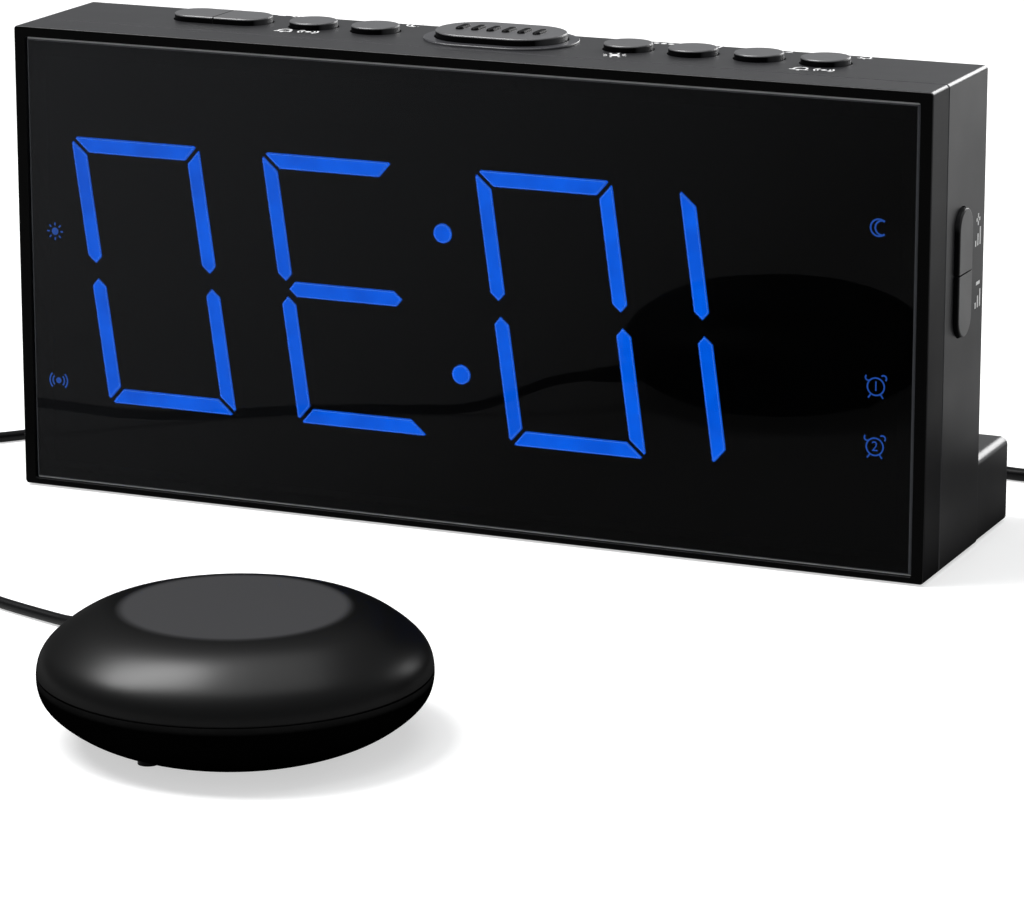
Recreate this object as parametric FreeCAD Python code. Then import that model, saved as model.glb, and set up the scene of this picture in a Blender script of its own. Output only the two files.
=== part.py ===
import FreeCAD, Part
import math
import os

# A wide LED alarm clock with a wired bed shaker, in millimetres.
# X runs to the right, Y to the back and Z up. The origin is the centre of the clock's base,
# on the surface that it stands on.

# Clock casing
case_width = 200.0
case_height = 97.8
case_depth = 34.3
bezel_depth = 9.7
foot_depth = 20.8
foot_height = 17.5
foot_inset = 0.3
wall = 2.2
floor_wall = 2.6
corner_radius = 0.8
edge_radius = 0.4
foot_edge_radius = 1.7
foot_back_radius = 1.4
parting_chamfer = 0.3
lip_length = 2.0
fit = 0.1

# Rubber feet
pad_radius = 5.0
pad_height = 1.2
pad_proud = 0.4
pad_from_side = 12.0
pad_from_edge = 7.0

# Display lens and the ledge that carries it
side_rim = 2.6
top_rim = 2.25
bottom_rim = 1.4
lens_recess = 0.3
lens_thickness = 2.0
lens_chamfer = 0.6
lens_corner = 0.5
ledge_width = 3.9
ledge_thickness = 1.2

# Display: four slanted digits of seven segments
display_height = 47.2
display_shift = -2.16
digit_spacing = 43.95
middle_spacing = 47.55
digit_width = 29.85
digit_height = 56.3
segment_width = 3.35
segment_gap = 0.4
segment_corner = 0.35
segment_middle = 1.5
slant = math.tan(math.radians(7.9))
colon_radius = 2.1
colon_spacing = 28.9
mask_thickness = 0.8
mask_lap = 2.0
display_screw_spacing = 65.0
reflector_depth = 6.6
board_thickness = 1.6
lit_letters = ("abcdef", "adefg", "abcdef", "ef")
indicator_size = (5.0, 4.2)
left_indicator_from_side = 7.5
right_indicator_from_side = 11.35
left_indicator_heights = (55.1, 23.1)
right_indicator_heights = (70.75, 39.1, 27.0)
led_size = (2.0, 1.2, 0.8)

# Case screws and their bosses
boss_radius = 3.2
lower_boss_height = 32.8
screw_radius = 1.4
screw_head_radius = 2.6
screw_head_height = 1.8
screw_depth = 16.0
screw_reach = 2.9
screw_play = 0.05
boss_bite = 0.5
boss_collar = 0.6

# Keys on the top
key_from_front = 23.2
key_radius = 5.0
key_rise = 1.4
key_gap = 0.3
key_travel = 0.5
key_flange = 0.85
key_edge = 0.4
flange_thickness = 0.7
right_keys = (27.8, 41.75, 55.8, 69.85)
left_keys = (-42.3, -28.2)
pair_centre = -63.0
pair_length = 21.6
pair_width = 10.3
pair_split = 0.3

# Snooze bar and its surround
snooze_length = 27.7
snooze_width = 18.0
snooze_rise = 2.0
surround_border = 2.2
surround_rise = 0.5
nub_count = 6
nub_size = (1.7, 5.2, 0.45)
nub_pitch = 3.4

# Volume keys on the right side
volume_from_front = 19.4
volume_height = 59.3
volume_length = 25.9
volume_width = 8.2
volume_rise = 1.05

# Tact switches and the boards that carry them
switch_size = 6.0
switch_height = 3.5
plunger_radius = 1.75
plunger_height = 0.5
plunger_play = 0.1
stem_radius = 2.0
key_board_thickness = 1.2
post_radius = 2.5
key_post_offset = 5.4
small_screw_radius = 1.0
small_head_radius = 1.9
small_head_height = 1.3
small_screw_grip = 4.0

# Speaker
speaker_radius = 25.0
speaker_depth = 13.0
speaker_height = 56.0
magnet_radius = 13.0
magnet_depth = 6.0
speaker_rim = 1.5
speaker_flange = 3.0
basket_thickness = 0.8
cone_from_edge = 3.4
cone_roll = 1.5
cone_start = 0.4
cone_thickness = 0.8
cone_floor = 2.4
dome_from_edge = 4.0
dome_rise = 1.2
magnet_edge = 0.8
slot_width = 2.4
slot_pitch = 4.6
slot_count = 9
slot_field_radius = 21.0

# Battery bay, cells and door
cell_radius = 5.2
cell_length = 44.5
cell_count = 3
cell_gap = 0.3
cell_nub_radius = 1.9
cell_nub_length = 1.0
spring_radii = (4.0, 2.2)
dimple_radii = (2.2, 1.6)
bay_from_side = 50.0
contact_room = 2.6
contact_thickness = 0.5
bay_wall = 1.2
door_thickness = 1.2
door_lap = 2.5
door_tongue = 1.0
door_gap = 0.2
door_grip_size = (14.0, 1.2, 0.4)
door_grip_count = 4
door_grip_pitch = 2.4
door_grip_from_back = 5.0

# Main board and sockets
main_board_from_side = 10.0
main_board_lift = 1.6
board_gap = 1.0
chips = ((0.65, 10.0, 10.0, 1.6), (0.25, 8.0, 5.0, 1.5), (0.83, 10.0, 4.0, 1.5))
capacitors = ((0.55, 13.5), (0.55, 5.5), (0.77, 3.5))
capacitor_radius = 2.5
capacitor_height = 7.0
ribbon_width = 14.0
ribbon_thickness = 0.5
ribbon_along = 0.31
ribbon_height = 22.0
connector_size = (18.0, 4.0, 5.0)
power_socket_along = 0.469
power_socket_size = (9.0, 13.0, 9.2)
power_bore_radius = 2.9
power_pin_radius = 0.9
shaker_socket_along = 0.1325
shaker_socket_size = (8.0, 12.0, 7.0)
shaker_bore_radius = 1.85

# Power lead: barrel plug, cord, coil and wall adapter
power_cord_radius = 1.4
plug_sleeve_radius = 2.75
plug_sleeve_length = 9.5
plug_grip_radius = 4.8
plug_grip_length = 17.0
relief_length = 10.0
relief_collar = 1.6
relief_lip = 0.3
plug_edge = 0.8
plug_bore_radius = 1.25
power_coil_centre = (131.0, 42.0)
power_coil_turns_across = 4
power_coil_layers = 4
adapter_size = (34.0, 52.0, 26.0)
adapter_corner = 4.0
adapter_edge = 1.5
adapter_collar = 2.2
adapter_from_coil = 58.0
blade_size = (1.5, 6.3, 16.0)
blade_spacing = 12.7
blade_from_face = 33.8
blade_root = 4.0
blade_corner = 1.2
blade_hole_radius = 1.6

# Shaker lead
shaker_cord_radius = 1.15
jack_pin_radius = 1.75
jack_pin_length = 14.0
jack_grip_radius = 4.0
jack_grip_length = 14.0
shaker_coil_centre = (-128.0, -36.0)
shaker_coil_turns_across = 5
shaker_coil_layers = 4
shaker_coil_entry = 146.0
shaker_coil_leave = 230.0
turn_pitch = 1.04
coil_diameters = 11.0
tail_length = 12.0
lead_in = 8.0

# Bed shaker
shaker_centre = (18.5, -164.8)
shaker_height = 23.55
shaker_outline = ((22.6, 0.4), (28.3, 2.9), (31.8, 5.35), (34.4, 8.3), (35.15, 11.85),
                  (34.4, 15.35), (31.2, 18.9), (26.8, 21.75), (20.5, 23.55))
shaker_wall = 2.0
shaker_parting = 12.4
groove_half_height = 0.2
groove_depth = 0.4
shaker_pad_radius = 20.0
shaker_pad_height = 1.0
motor_radius = 7.5
motor_length = 20.0
motor_axis_height = 11.2
motor_back = -14.0
motor_gap = 0.05
motor_edge = 0.8
bush_radius = 3.0
bush_length = 1.2
shaft_hold = 5.5
shaft_radius = 1.0
shaft_length = 10.0
weight_radius = 8.0
weight_thickness = 6.0
weight_gap = 2.0
weight_hub_radius = 3.2
clamp_thickness = 1.5
clamp_width = 12.0
clamp_ear = 6.0
shaker_screw_circle = 25.5
shaker_post_radius = 2.8
shaker_post_length = 10.5
shaker_screw_grip = 6.0
shaker_head_seat = 3.0
shaker_head_height = 1.4
ear_radius = 2.6
ear_drop = 4.0
clamp_screw_grip = 2.5
grommet_angle = 140.0
grommet_height = 7.6
grommet_neck_radius = 2.2
grommet_flange_radius = 3.2
grommet_flange = 1.2
grommet_reach = 44.0
grommet_bore_start = 26.0
grommet_seat = 31.4
grommet_neck_end = 35.0

# Places that follow from the sizes
X, Y, Z = FreeCAD.Vector(1, 0, 0), FreeCAD.Vector(0, 1, 0), FreeCAD.Vector(0, 0, 1)
half_width = case_width / 2
case_bottom = pad_proud
case_top = case_bottom + case_height
front_y = -(case_depth + foot_depth) / 2
bezel_back = front_y + bezel_depth
case_back = front_y + case_depth
foot_back = case_back + foot_depth
foot_top = case_bottom + foot_height
floor_top = case_bottom + floor_wall
ceiling = case_top - wall
inner_half = half_width - wall
lens_back = front_y + lens_recess + lens_thickness
ledge_back = lens_back + ledge_thickness
mask_back = ledge_back + mask_thickness
reflector_back = mask_back + reflector_depth
display_board_back = reflector_back + board_thickness
lens_half = half_width - side_rim
lens_bottom = case_bottom + bottom_rim
lens_top = case_top - top_rim
window_half = lens_half - ledge_width
window_bottom = lens_bottom + ledge_width
window_top = lens_top - ledge_width
key_y = front_y + key_from_front
plunger_top = ceiling - key_gap / 2 - flange_thickness - switch_height
key_board_top = plunger_top - plunger_height - switch_height
key_board_bottom = key_board_top - key_board_thickness
upper_boss_height = ceiling - boss_radius + boss_bite
boss_x = inner_half - boss_radius + boss_bite
boss_joint = bezel_back - lip_length - fit
bay_centre = bay_from_side - half_width
bay_left = bay_centre - cell_length / 2 - contact_room
bay_right = bay_centre + cell_length / 2 + contact_room
bay_back = foot_back - wall - fit
bay_front = bay_back - cell_count * (2 * cell_radius + cell_gap) - cell_gap
bay_roof = floor_top + 2 * cell_radius + 2 * cell_gap
main_board_left = bay_right + bay_wall + board_gap
main_board_right = half_width - main_board_from_side
main_board_length = main_board_right - main_board_left
ribbon_x = main_board_left + ribbon_along * main_board_length
power_socket_x = main_board_left + power_socket_along * main_board_length
shaker_socket_x = main_board_left + shaker_socket_along * main_board_length
main_board_front = case_back - wall + board_gap
main_board_back = foot_back - wall - fit
main_board_top = floor_top + main_board_lift + key_board_thickness
switch_gap = key_travel + plunger_play
left_indicator_x = left_indicator_from_side - half_width
right_indicator_x = half_width - right_indicator_from_side
display_x = (display_shift - middle_spacing / 2 - digit_spacing, display_shift - middle_spacing / 2,
             display_shift + middle_spacing / 2, display_shift + middle_spacing / 2 + digit_spacing)


def at(x, y, z):
    return FreeCAD.Vector(x, y, z)


def block(x0, x1, y0, y1, z0, z1):
    return Part.makeBox(x1 - x0, y1 - y0, z1 - z0, at(x0, y0, z0))


def rod(base, direction, radius, length):
    return Part.makeCylinder(radius, length, base, direction)


def cone(base, direction, radius, end_radius, length):
    return Part.makeCone(radius, end_radius, length, base, direction)


def fuse(shapes):
    return shapes[0].multiFuse(shapes[1:]).removeSplitter() if len(shapes) > 1 else shapes[0]


def cut(shape, tools):
    return shape.cut(tools) if tools else shape


def round_edges(shape, radius, chosen):
    """Fillets the edges that `chosen` says yes to."""
    return shape.makeFillet(radius, [edge for edge in shape.Edges if chosen(edge)])


def lies_at(edge, axis, value):
    return all(abs(getattr(v.Point, axis) - value) < 1e-6 for v in edge.Vertexes)


def runs_along(edge, axis):
    if not isinstance(edge.Curve, Part.Line):
        return False
    return abs(abs(edge.Curve.Direction.dot(axis)) - 1) < 1e-6


def prism(points, push):
    wire = Part.makePolygon([*points, points[0]])
    return Part.Face(wire).extrude(push)


def pill(centre, along, across, length, width, push):
    """A prism whose section is a bar with round ends."""
    end = width / 2
    a, b, tip = along * (length / 2 - end), across * end, along * end
    corner = (centre - a + b, centre + a + b, centre + a - b, centre - a - b)
    edges = [
        Part.LineSegment(corner[0], corner[1]).toShape(),
        Part.Arc(corner[1], centre + a + tip, corner[2]).toShape(),
        Part.LineSegment(corner[2], corner[3]).toShape(),
        Part.Arc(corner[3], centre - a - tip, corner[0]).toShape(),
    ]
    return Part.Face(Part.Wire(edges)).extrude(push)


# Casing: the bezel is a frame, the housing a tub with the foot block behind it

def boss_places():
    return [(x, z) for x in (-boss_x, boss_x) for z in (lower_boss_height, upper_boss_height)]


def front_bezel():
    frame = block(-half_width, half_width, front_y, bezel_back, case_bottom, case_top)
    frame = round_edges(frame, corner_radius, lambda e: runs_along(e, Y))
    frame = round_edges(frame, edge_radius, lambda e: lies_at(e, "y", front_y))
    frame = frame.makeChamfer(parting_chamfer, [e for e in frame.Edges if lies_at(e, "y", bezel_back)])
    seat = block(-lens_half - fit, lens_half + fit, front_y - 1, lens_back, lens_bottom - fit, lens_top + fit)
    seat = round_edges(seat, lens_corner, lambda e: runs_along(e, Y))
    window = block(-window_half, window_half, lens_back - 1, ledge_back + 1, window_bottom, window_top)
    hollow = block(-inner_half, inner_half, ledge_back, bezel_back + 1,
                   case_bottom + wall, case_top - wall)
    half_wall = wall / 2
    rebate = block(-half_width + half_wall, half_width - half_wall, bezel_back - lip_length - fit,
                   bezel_back + 1, case_bottom + half_wall, case_top - half_wall)
    frame = frame.cut([seat, window, hollow, rebate])
    bosses, pilots = [], []
    for x, z in boss_places():
        start = mask_back + fit
        bosses.append(rod(at(x, start, z), Y, boss_radius, boss_joint - start))
        pilots.append(rod(at(x, boss_joint - screw_reach, z), Y, screw_radius, screw_reach + 1))
    return fuse([frame, *bosses]).cut(pilots)


def display_lens():
    lens = block(-lens_half, lens_half, lens_back - lens_thickness, lens_back, lens_bottom, lens_top)
    lens = round_edges(lens, lens_corner, lambda e: runs_along(e, Y))
    front = front_y + lens_recess
    return lens.makeChamfer(lens_chamfer, [e for e in lens.Edges if lies_at(e, "y", front)])


def key_holes():
    """The cuts in the top wall and the side wall that the keys stand in."""
    low, push = wall_cut_start(), Z * (2 * wall)
    holes = [rod(at(x, key_y, low), Z, key_radius + key_gap, 2 * wall) for x in left_keys + right_keys]
    holes.append(pill(at(pair_centre, key_y, low), X, Y, pair_length + 2 * key_gap,
                      pair_width + 2 * key_gap, push))
    collar = surround_border / 2
    holes.append(pill(at(0, key_y, low), X, Y, snooze_length + 2 * key_gap + 2 * collar + 2 * fit,
                      snooze_width + 2 * key_gap + 2 * collar + 2 * fit, push))
    holes.append(pill(at(inner_half - 1, front_y + volume_from_front, volume_height), Z, Y,
                      volume_length + 2 * key_gap, volume_width + 2 * key_gap, X * (2 * wall)))
    return holes


def wall_cut_start():
    """Low enough for a pressed key's flange, which may reach into the back wall."""
    return ceiling - key_gap / 2 - flange_thickness - key_travel - 2 * fit


def speaker_slots():
    slots = []
    for row in range(slot_count):
        offset = (row - (slot_count - 1) / 2) * slot_pitch
        reach = math.sqrt(max(slot_field_radius ** 2 - offset ** 2, slot_width ** 2))
        start = at(0, case_back - wall - 1, speaker_height + offset)
        slots.append(pill(start, X, Z, 2 * reach, slot_width, Y * (wall + 2)))
    return slots


def cell_rows():
    """Where each cell's axis lies, from front to back, and how high."""
    pitch = 2 * cell_radius + cell_gap
    height = floor_top + cell_gap / 3 + cell_radius
    return [(bay_front + cell_gap + cell_radius + i * pitch, height) for i in range(cell_count)]


def door_cuts():
    """The door's seat, the grooves for its tongues and the opening that it covers."""
    top = case_bottom + door_gap + door_thickness + door_gap
    left, right, front = bay_left - door_lap, bay_right + door_lap, bay_front - door_lap - door_gap
    rebate = block(left - door_gap, right + door_gap, front, foot_back + 1, case_bottom - 1, top)
    side = door_tongue + 2 * door_gap
    groove = block(left - side, right + side, front, foot_back + 1, case_bottom + 2 * door_gap, top)
    opening = block(bay_left + door_lap, bay_right - door_lap, bay_front + door_lap, bay_back - door_lap,
                    top - 1, floor_top + 1)
    return [rebate, groove, opening]


def pad_places():
    x = half_width - pad_from_side
    return [(sx * x, y) for sx in (-1, 1) for y in (bezel_back + pad_from_edge, foot_back - pad_from_edge)]


def main_post_places():
    inset = 1.6 * post_radius
    xs = (main_board_left + inset, main_board_right - inset)
    return [(x, y) for x in xs for y in (main_board_front + inset, main_board_back - inset)]


def key_post_places():
    xs = ((left_keys[0] + left_keys[1]) / 2, (right_keys[0] + right_keys[1]) / 2)
    return [(x, key_y + side * key_post_offset) for x in xs for side in (-1, 1)]


def side_post_places():
    reach = volume_length / 2 + key_flange + key_gap + post_radius + 0.5
    return [(front_y + volume_from_front, volume_height + side * reach) for side in (-1, 1)]


def side_board_inner():
    """Where the side key board's outer face lies: the mirror of the top key board's height."""
    return inner_half - (ceiling - key_board_top)


def rear_housing():
    case = block(-half_width, half_width, bezel_back, case_back, case_bottom, case_top)
    case = round_edges(case, corner_radius, lambda e: runs_along(e, Y) or lies_at(e, "y", case_back))
    case = case.makeChamfer(parting_chamfer, [e for e in case.Edges if lies_at(e, "y", bezel_back)])
    foot_half = half_width - foot_inset
    foot = block(-foot_half, foot_half, case_back - wall, foot_back, case_bottom, foot_top)
    foot = round_edges(foot, foot_edge_radius, lambda e: runs_along(e, Y) and lies_at(e, "z", foot_top))
    foot = round_edges(foot, corner_radius, lambda e: runs_along(e, Y) and lies_at(e, "z", case_bottom))
    foot = round_edges(foot, foot_back_radius, lambda e: lies_at(e, "y", foot_back))
    hollow = block(-inner_half, inner_half, bezel_back - 1, case_back - wall, floor_top, ceiling)
    foot_hollow = block(-foot_half + wall, foot_half - wall, case_back - 2 * wall, foot_back - wall,
                        floor_top, foot_top - wall)
    shell = fuse([case, foot]).cut([hollow, foot_hollow])

    inset = wall / 2 + fit
    lip = block(-half_width + inset, half_width - inset, bezel_back - lip_length, bezel_back + wall,
                case_bottom + inset, case_top - inset)
    lip = lip.cut(block(-inner_half, inner_half, bezel_back - lip_length - 1, bezel_back + wall + 1,
                        case_bottom + wall, case_top - wall))
    added = [lip]
    removed = []
    screw_end = case_back - screw_depth
    for x, z in boss_places():
        start = boss_joint + fit
        added.append(rod(at(x, start, z), Y, boss_radius, bezel_back - start + 1))
        added.append(rod(at(x, bezel_back, z), Y, boss_radius + boss_collar,
                         case_back - wall / 2 - bezel_back))
        removed.append(rod(at(x, start - 1, z), Y, screw_radius + fit, case_depth))
        removed.append(rod(at(x, screw_end, z), Y, screw_head_radius + 2 * fit, screw_depth + 1))

    added.append(block(bay_left - bay_wall, bay_right + bay_wall, bay_front - bay_wall,
                       foot_back - wall / 2, floor_top - floor_wall / 2, bay_roof + bay_wall))
    inside = block(bay_left, bay_right, bay_front, bay_back, floor_top, bay_roof)
    ring = rod(at(0, case_back - wall - 3 * speaker_rim, speaker_height), Y,
               speaker_radius + 1.6, 3 * speaker_rim + wall / 2)
    added.append(ring)
    removed.append(rod(at(0, case_back - wall - 4 * speaker_rim, speaker_height), Y,
                       speaker_radius + fit, 4 * speaker_rim))
    for x, y in main_post_places():
        added.append(rod(at(x, y, floor_top - 1), Z, post_radius, main_board_lift + 1))
        removed.append(rod(at(x, y, floor_top - 0.6), Z, small_screw_radius, main_board_lift + 2))
    for x, y in key_post_places():
        added.append(rod(at(x, y, key_board_top), Z, post_radius, case_top - wall / 2 - key_board_top))
        removed.append(rod(at(x, y, key_board_top - 1), Z, small_screw_radius, small_screw_grip + 1.4))
    for y, z in side_post_places():
        start = side_board_inner()
        added.append(rod(at(start, y, z), X, post_radius, half_width - wall / 2 - start))
        removed.append(rod(at(start - 1, y, z), X, small_screw_radius, small_screw_grip + 1.4))
    removed += [inside, *door_cuts(), *key_holes(), *speaker_slots()]
    for x, y in pad_places():
        removed.append(rod(at(x, y, case_bottom - 1), Z, pad_radius + fit, pad_height - pad_proud + 1))
    axis_y = foot_back - wall - 1
    removed.append(rod(at(power_socket_x, axis_y, socket_height(power_socket_size)), Y,
                       plug_sleeve_radius + 0.4, wall + 2))
    removed.append(rod(at(shaker_socket_x, axis_y, socket_height(shaker_socket_size)), Y,
                       jack_pin_radius + 0.4, wall + 2))
    return fuse([shell, *added]).cut(removed)


def rubber_feet():
    return [rod(at(x, y, 0), Z, pad_radius, pad_height) for x, y in pad_places()]


def case_screws():
    screws = []
    head = case_back - screw_depth
    tip = boss_joint - screw_reach + 0.4
    for x, z in boss_places():
        shank = rod(at(x, tip, z), Y, screw_radius - screw_play, head - tip)
        cap = rod(at(x, head, z), Y, screw_head_radius, screw_head_height)
        screws.append(fuse([shank, cap]))
    return screws


# Display: mask, diffusers, reflector and the board behind them

def segment_outline(letter, shrink):
    """One segment's corners about the digit's centre, before the slant."""
    half = segment_width / 2
    u, v = digit_width / 2 - half, digit_height / 2 - half
    thin = half - shrink
    gap = segment_gap + shrink
    if letter == "g":
        tip = u - gap
        back = tip - thin
        return [(-tip, 0), (-back, thin), (back, thin), (tip, 0), (back, -thin), (-back, -thin)]
    reach, high = u - half - gap, v - half - gap
    point = 2 * thin - segment_corner
    if letter in "ad":
        side = [(reach, -thin), (reach + point, thin - segment_corner), (reach + point - segment_corner, thin)]
        outline = [(-x, y + v) for x, y in side] + [(x, y + v) for x, y in reversed(side)]
        return outline if letter == "a" else [(x, -y) for x, y in outline]
    low = segment_middle + shrink
    outline = [(-u + thin, low + thin), (-u, low), (-u - thin, low + thin),
               (-u - thin, high + point - segment_corner), (-u - thin + segment_corner, high + point),
               (-u + thin, high)]
    flip_x = -1 if letter in "bc" else 1
    flip_y = -1 if letter in "ec" else 1
    return [(flip_x * x, flip_y * y) for x, y in outline]


def on_display(x, u, v, y):
    """A point of a digit centred at x, leaned to the slant."""
    return at(x + u - slant * v, y, display_height + v)


def segment(x, letter, y0, y1, shrink):
    points = [on_display(x, u, v, y0) for u, v in segment_outline(letter, shrink)]
    return prism(points, Y * (y1 - y0))


def colon(y0, y1, radius):
    dots = []
    for v in (-colon_spacing / 2, colon_spacing / 2):
        dots.append(rod(on_display(display_shift, 0, v, y0), Y, radius, y1 - y0))
    return dots


def indicator_places():
    places = [(left_indicator_x, z) for z in left_indicator_heights]
    return places + [(right_indicator_x, z) for z in right_indicator_heights]


def indicators(y0, y1, gap):
    wide, tall = indicator_size[0] / 2 + gap, indicator_size[1] / 2 + gap
    return [block(x - wide, x + wide, y0, y1, z - tall, z + tall) for x, z in indicator_places()]


def all_segments(y0, y1, shrink):
    return [segment(x, letter, y0, y1, shrink) for x in display_x for letter in "abcdefg"]


def display_mask():
    plate = block(-window_half - mask_lap, window_half + mask_lap, ledge_back, mask_back,
                  window_bottom - mask_lap, window_top + mask_lap)
    y0, y1 = ledge_back - 1, mask_back + 1
    return plate.cut(all_segments(y0, y1, 0) + colon(y0, y1, colon_radius) + indicators(y0, y1, 0))


def lit_segments():
    return [segment(x, letter, ledge_back, mask_back, fit)
            for x, letters in zip(display_x, lit_letters) for letter in letters]


def unlit_segments():
    return [segment(x, letter, ledge_back, mask_back, fit)
            for x, letters in zip(display_x, lit_letters) for letter in "abcdefg" if letter not in letters]


def display_notches(y0, y1):
    around = boss_radius + boss_collar + 4 * fit
    return [rod(at(x, y0, z), Y, around, y1 - y0) for x, z in boss_places()]


def display_edges():
    """The sides, bottom and top that the reflector and its board share."""
    half = window_half + mask_lap - 0.5
    return half, window_bottom + 1.5, min(window_top - 1.5, key_board_bottom - 1.0)


def reflector():
    half, low, high = display_edges()
    body = block(-half, half, mask_back, reflector_back, low, high)
    y0, y1 = mask_back - 1, reflector_back + 1
    cavities = all_segments(y0, y1, 0) + colon(y0, y1, colon_radius) + indicators(y0, y1, 0)
    holes = [rod(at(x, reflector_back - small_screw_grip - 1, z), Y, small_screw_radius,
                 small_screw_grip + 2) for x, z in display_screw_places()]
    return body.cut(cavities + holes + display_notches(y0, y1))


def display_screw_places():
    half, low, high = display_edges()
    gap = 2 * small_head_radius
    return [(x, z) for x in (-display_screw_spacing, 0, display_screw_spacing)
            for z in (low + gap, high - gap)]


def display_board():
    half, low, high = display_edges()
    board = block(-half, half, reflector_back, display_board_back, low, high)
    y0, y1 = reflector_back - 1, display_board_back + 1
    holes = [rod(at(x, y0, z), Y, small_screw_radius + fit, y1 - y0) for x, z in display_screw_places()]
    return board.cut(holes + display_notches(y0, y1))


def segment_leds():
    long, short, tall = led_size
    leds = []
    for x in display_x:
        for letter in "abcdefg":
            outline = segment_outline(letter, 0)
            u = sum(p[0] for p in outline) / len(outline)
            v = sum(p[1] for p in outline) / len(outline)
            flat = letter in "adg"
            for step in (-0.2, 0.2):
                du, dv = (step * digit_width, 0) if flat else (0, step * digit_height / 2)
                spot = on_display(x, u + du, v + dv, reflector_back)
                a, b = (long / 2, short / 2) if flat else (short / 2, long / 2)
                leds.append(block(spot.x - a, spot.x + a, spot.y - tall, spot.y, spot.z - b, spot.z + b))
    for x, z in indicator_places():
        leds.append(block(x - long / 2, x + long / 2, reflector_back - tall, reflector_back,
                          z - short / 2, z + short / 2))
    return leds


# Keys, switches and their boards

def key_top(base, edge, along, across, length, width, rise, direction):
    """A key cap with its retaining flange and its stem, pressed along -direction."""
    flange = pill(base - direction * (wall + key_gap / 2), along, across, length + 2 * key_flange,
                  width + 2 * key_flange, direction * -flange_thickness)
    cap = pill(base - direction * (wall + key_gap), along, across, length, width,
               direction * (wall + key_gap + rise))
    outer = [e for e in cap.Edges
             if all(abs((v.Point - base).dot(direction) - rise) < 1e-6 for v in e.Vertexes)]
    return fuse([cap.makeFillet(edge, outer), flange])


def stem(base, direction):
    start = base - direction * (wall + key_gap / 2 + flange_thickness / 2)
    length = switch_height - switch_gap + flange_thickness / 2
    return rod(start, direction * -1, stem_radius, length)


def round_key(x):
    base = at(x, key_y, case_top)
    cap = rod(base - Z * (wall + key_gap), Z, key_radius, wall + key_gap + key_rise)
    cap = round_edges(cap, key_edge, lambda e: lies_at(e, "z", case_top + key_rise))
    flange = rod(base - Z * (wall + key_gap / 2 + flange_thickness), Z, key_radius + key_flange,
                 flange_thickness)
    return fuse([cap, flange, stem(base, Z)])


def half_of(shape, centre, direction):
    """The half of a divided key on one side of its split."""
    keep = rod(centre + direction * (pair_split / 2), direction, case_width, case_width)
    return shape.common(keep)


def pair_key(side):
    base = at(pair_centre, key_y, case_top)
    whole = key_top(base, key_edge, X, Y, pair_length, pair_width, key_rise, Z)
    half = half_of(whole, base, X * side)
    return fuse([half, stem(base + X * (side * pair_length / 4), Z)])


def volume_key(side):
    base = at(half_width, front_y + volume_from_front, volume_height)
    whole = key_top(base, key_edge, Z, Y, volume_length, volume_width, volume_rise, X)
    half = half_of(whole, base, Z * side)
    return fuse([half, stem(base + Z * (side * volume_length / 4), X)])


def snooze_surround():
    length = snooze_length + 2 * key_gap
    width = snooze_width + 2 * key_gap
    border, collar = surround_border, surround_border / 2
    top = pill(at(0, key_y, case_top), X, Y, length + 2 * border, width + 2 * border, Z * surround_rise)
    top = round_edges(top, surround_rise * 0.6, lambda e: lies_at(e, "z", case_top + surround_rise))
    neck = pill(at(0, key_y, ceiling), X, Y, length + 2 * collar, width + 2 * collar, Z * (wall + 0.01))
    hole = pill(at(0, key_y, ceiling - 1), X, Y, length, width, Z * (wall + surround_rise + 2))
    return fuse([top, neck]).cut(hole)


def snooze_button():
    base = at(0, key_y, case_top)
    bar = key_top(base, key_edge, X, Y, snooze_length, snooze_width, snooze_rise, Z)
    wide, long, rise = nub_size
    nubs = []
    for i in range(nub_count):
        x = (i - (nub_count - 1) / 2) * nub_pitch
        nub = pill(at(x, key_y, case_top + snooze_rise - rise), Y, X, long, wide, Z * (2 * rise))
        top = case_top + snooze_rise + rise
        nubs.append(nub.makeChamfer(rise / 2, [e for e in nub.Edges if lies_at(e, "z", top)]))
    return fuse([bar, stem(base, Z), *nubs])


def switch(foot, direction):
    """A tact switch standing on its board, with its round plunger."""
    half = switch_size / 2
    if direction == Z:
        body = block(foot.x - half, foot.x + half, foot.y - half, foot.y + half,
                     foot.z, foot.z + switch_height)
    else:
        body = block(foot.x, foot.x + switch_height, foot.y - half, foot.y + half,
                     foot.z - half, foot.z + half)
    plunger = rod(foot + direction * switch_height, direction, plunger_radius, plunger_height)
    return fuse([body, plunger])


def key_switches():
    xs = [*left_keys, *right_keys, 0.0, pair_centre - pair_length / 4, pair_centre + pair_length / 4]
    return [switch(at(x, key_y, key_board_top), Z) for x in xs]


def key_board():
    reach = key_post_offset + post_radius + fit
    left = pair_centre - pair_length / 2 - key_flange
    right = right_keys[-1] + key_radius + key_flange
    board = block(left, right, key_y - reach, key_y + reach, key_board_bottom, key_board_top)
    return board.cut([rod(at(x, y, key_board_bottom - 1), Z, small_screw_radius + fit,
                          key_board_thickness + 2) for x, y in key_post_places()])


def side_key_switches():
    x = side_board_inner()
    y = front_y + volume_from_front
    return [switch(at(x, y, volume_height + side * volume_length / 4), X) for side in (-1, 1)]


def side_key_board():
    outer = side_board_inner()
    inner = outer - key_board_thickness
    y = front_y + volume_from_front
    places = side_post_places()
    half = switch_size / 2 + post_radius
    board = block(inner, outer, y - half, y + half,
                  places[0][1] - 1.6 * post_radius, places[1][1] + 1.6 * post_radius)
    return board.cut([rod(at(inner - 1, py, pz), X, small_screw_radius + fit, key_board_thickness + 2)
                      for py, pz in places])


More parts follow.
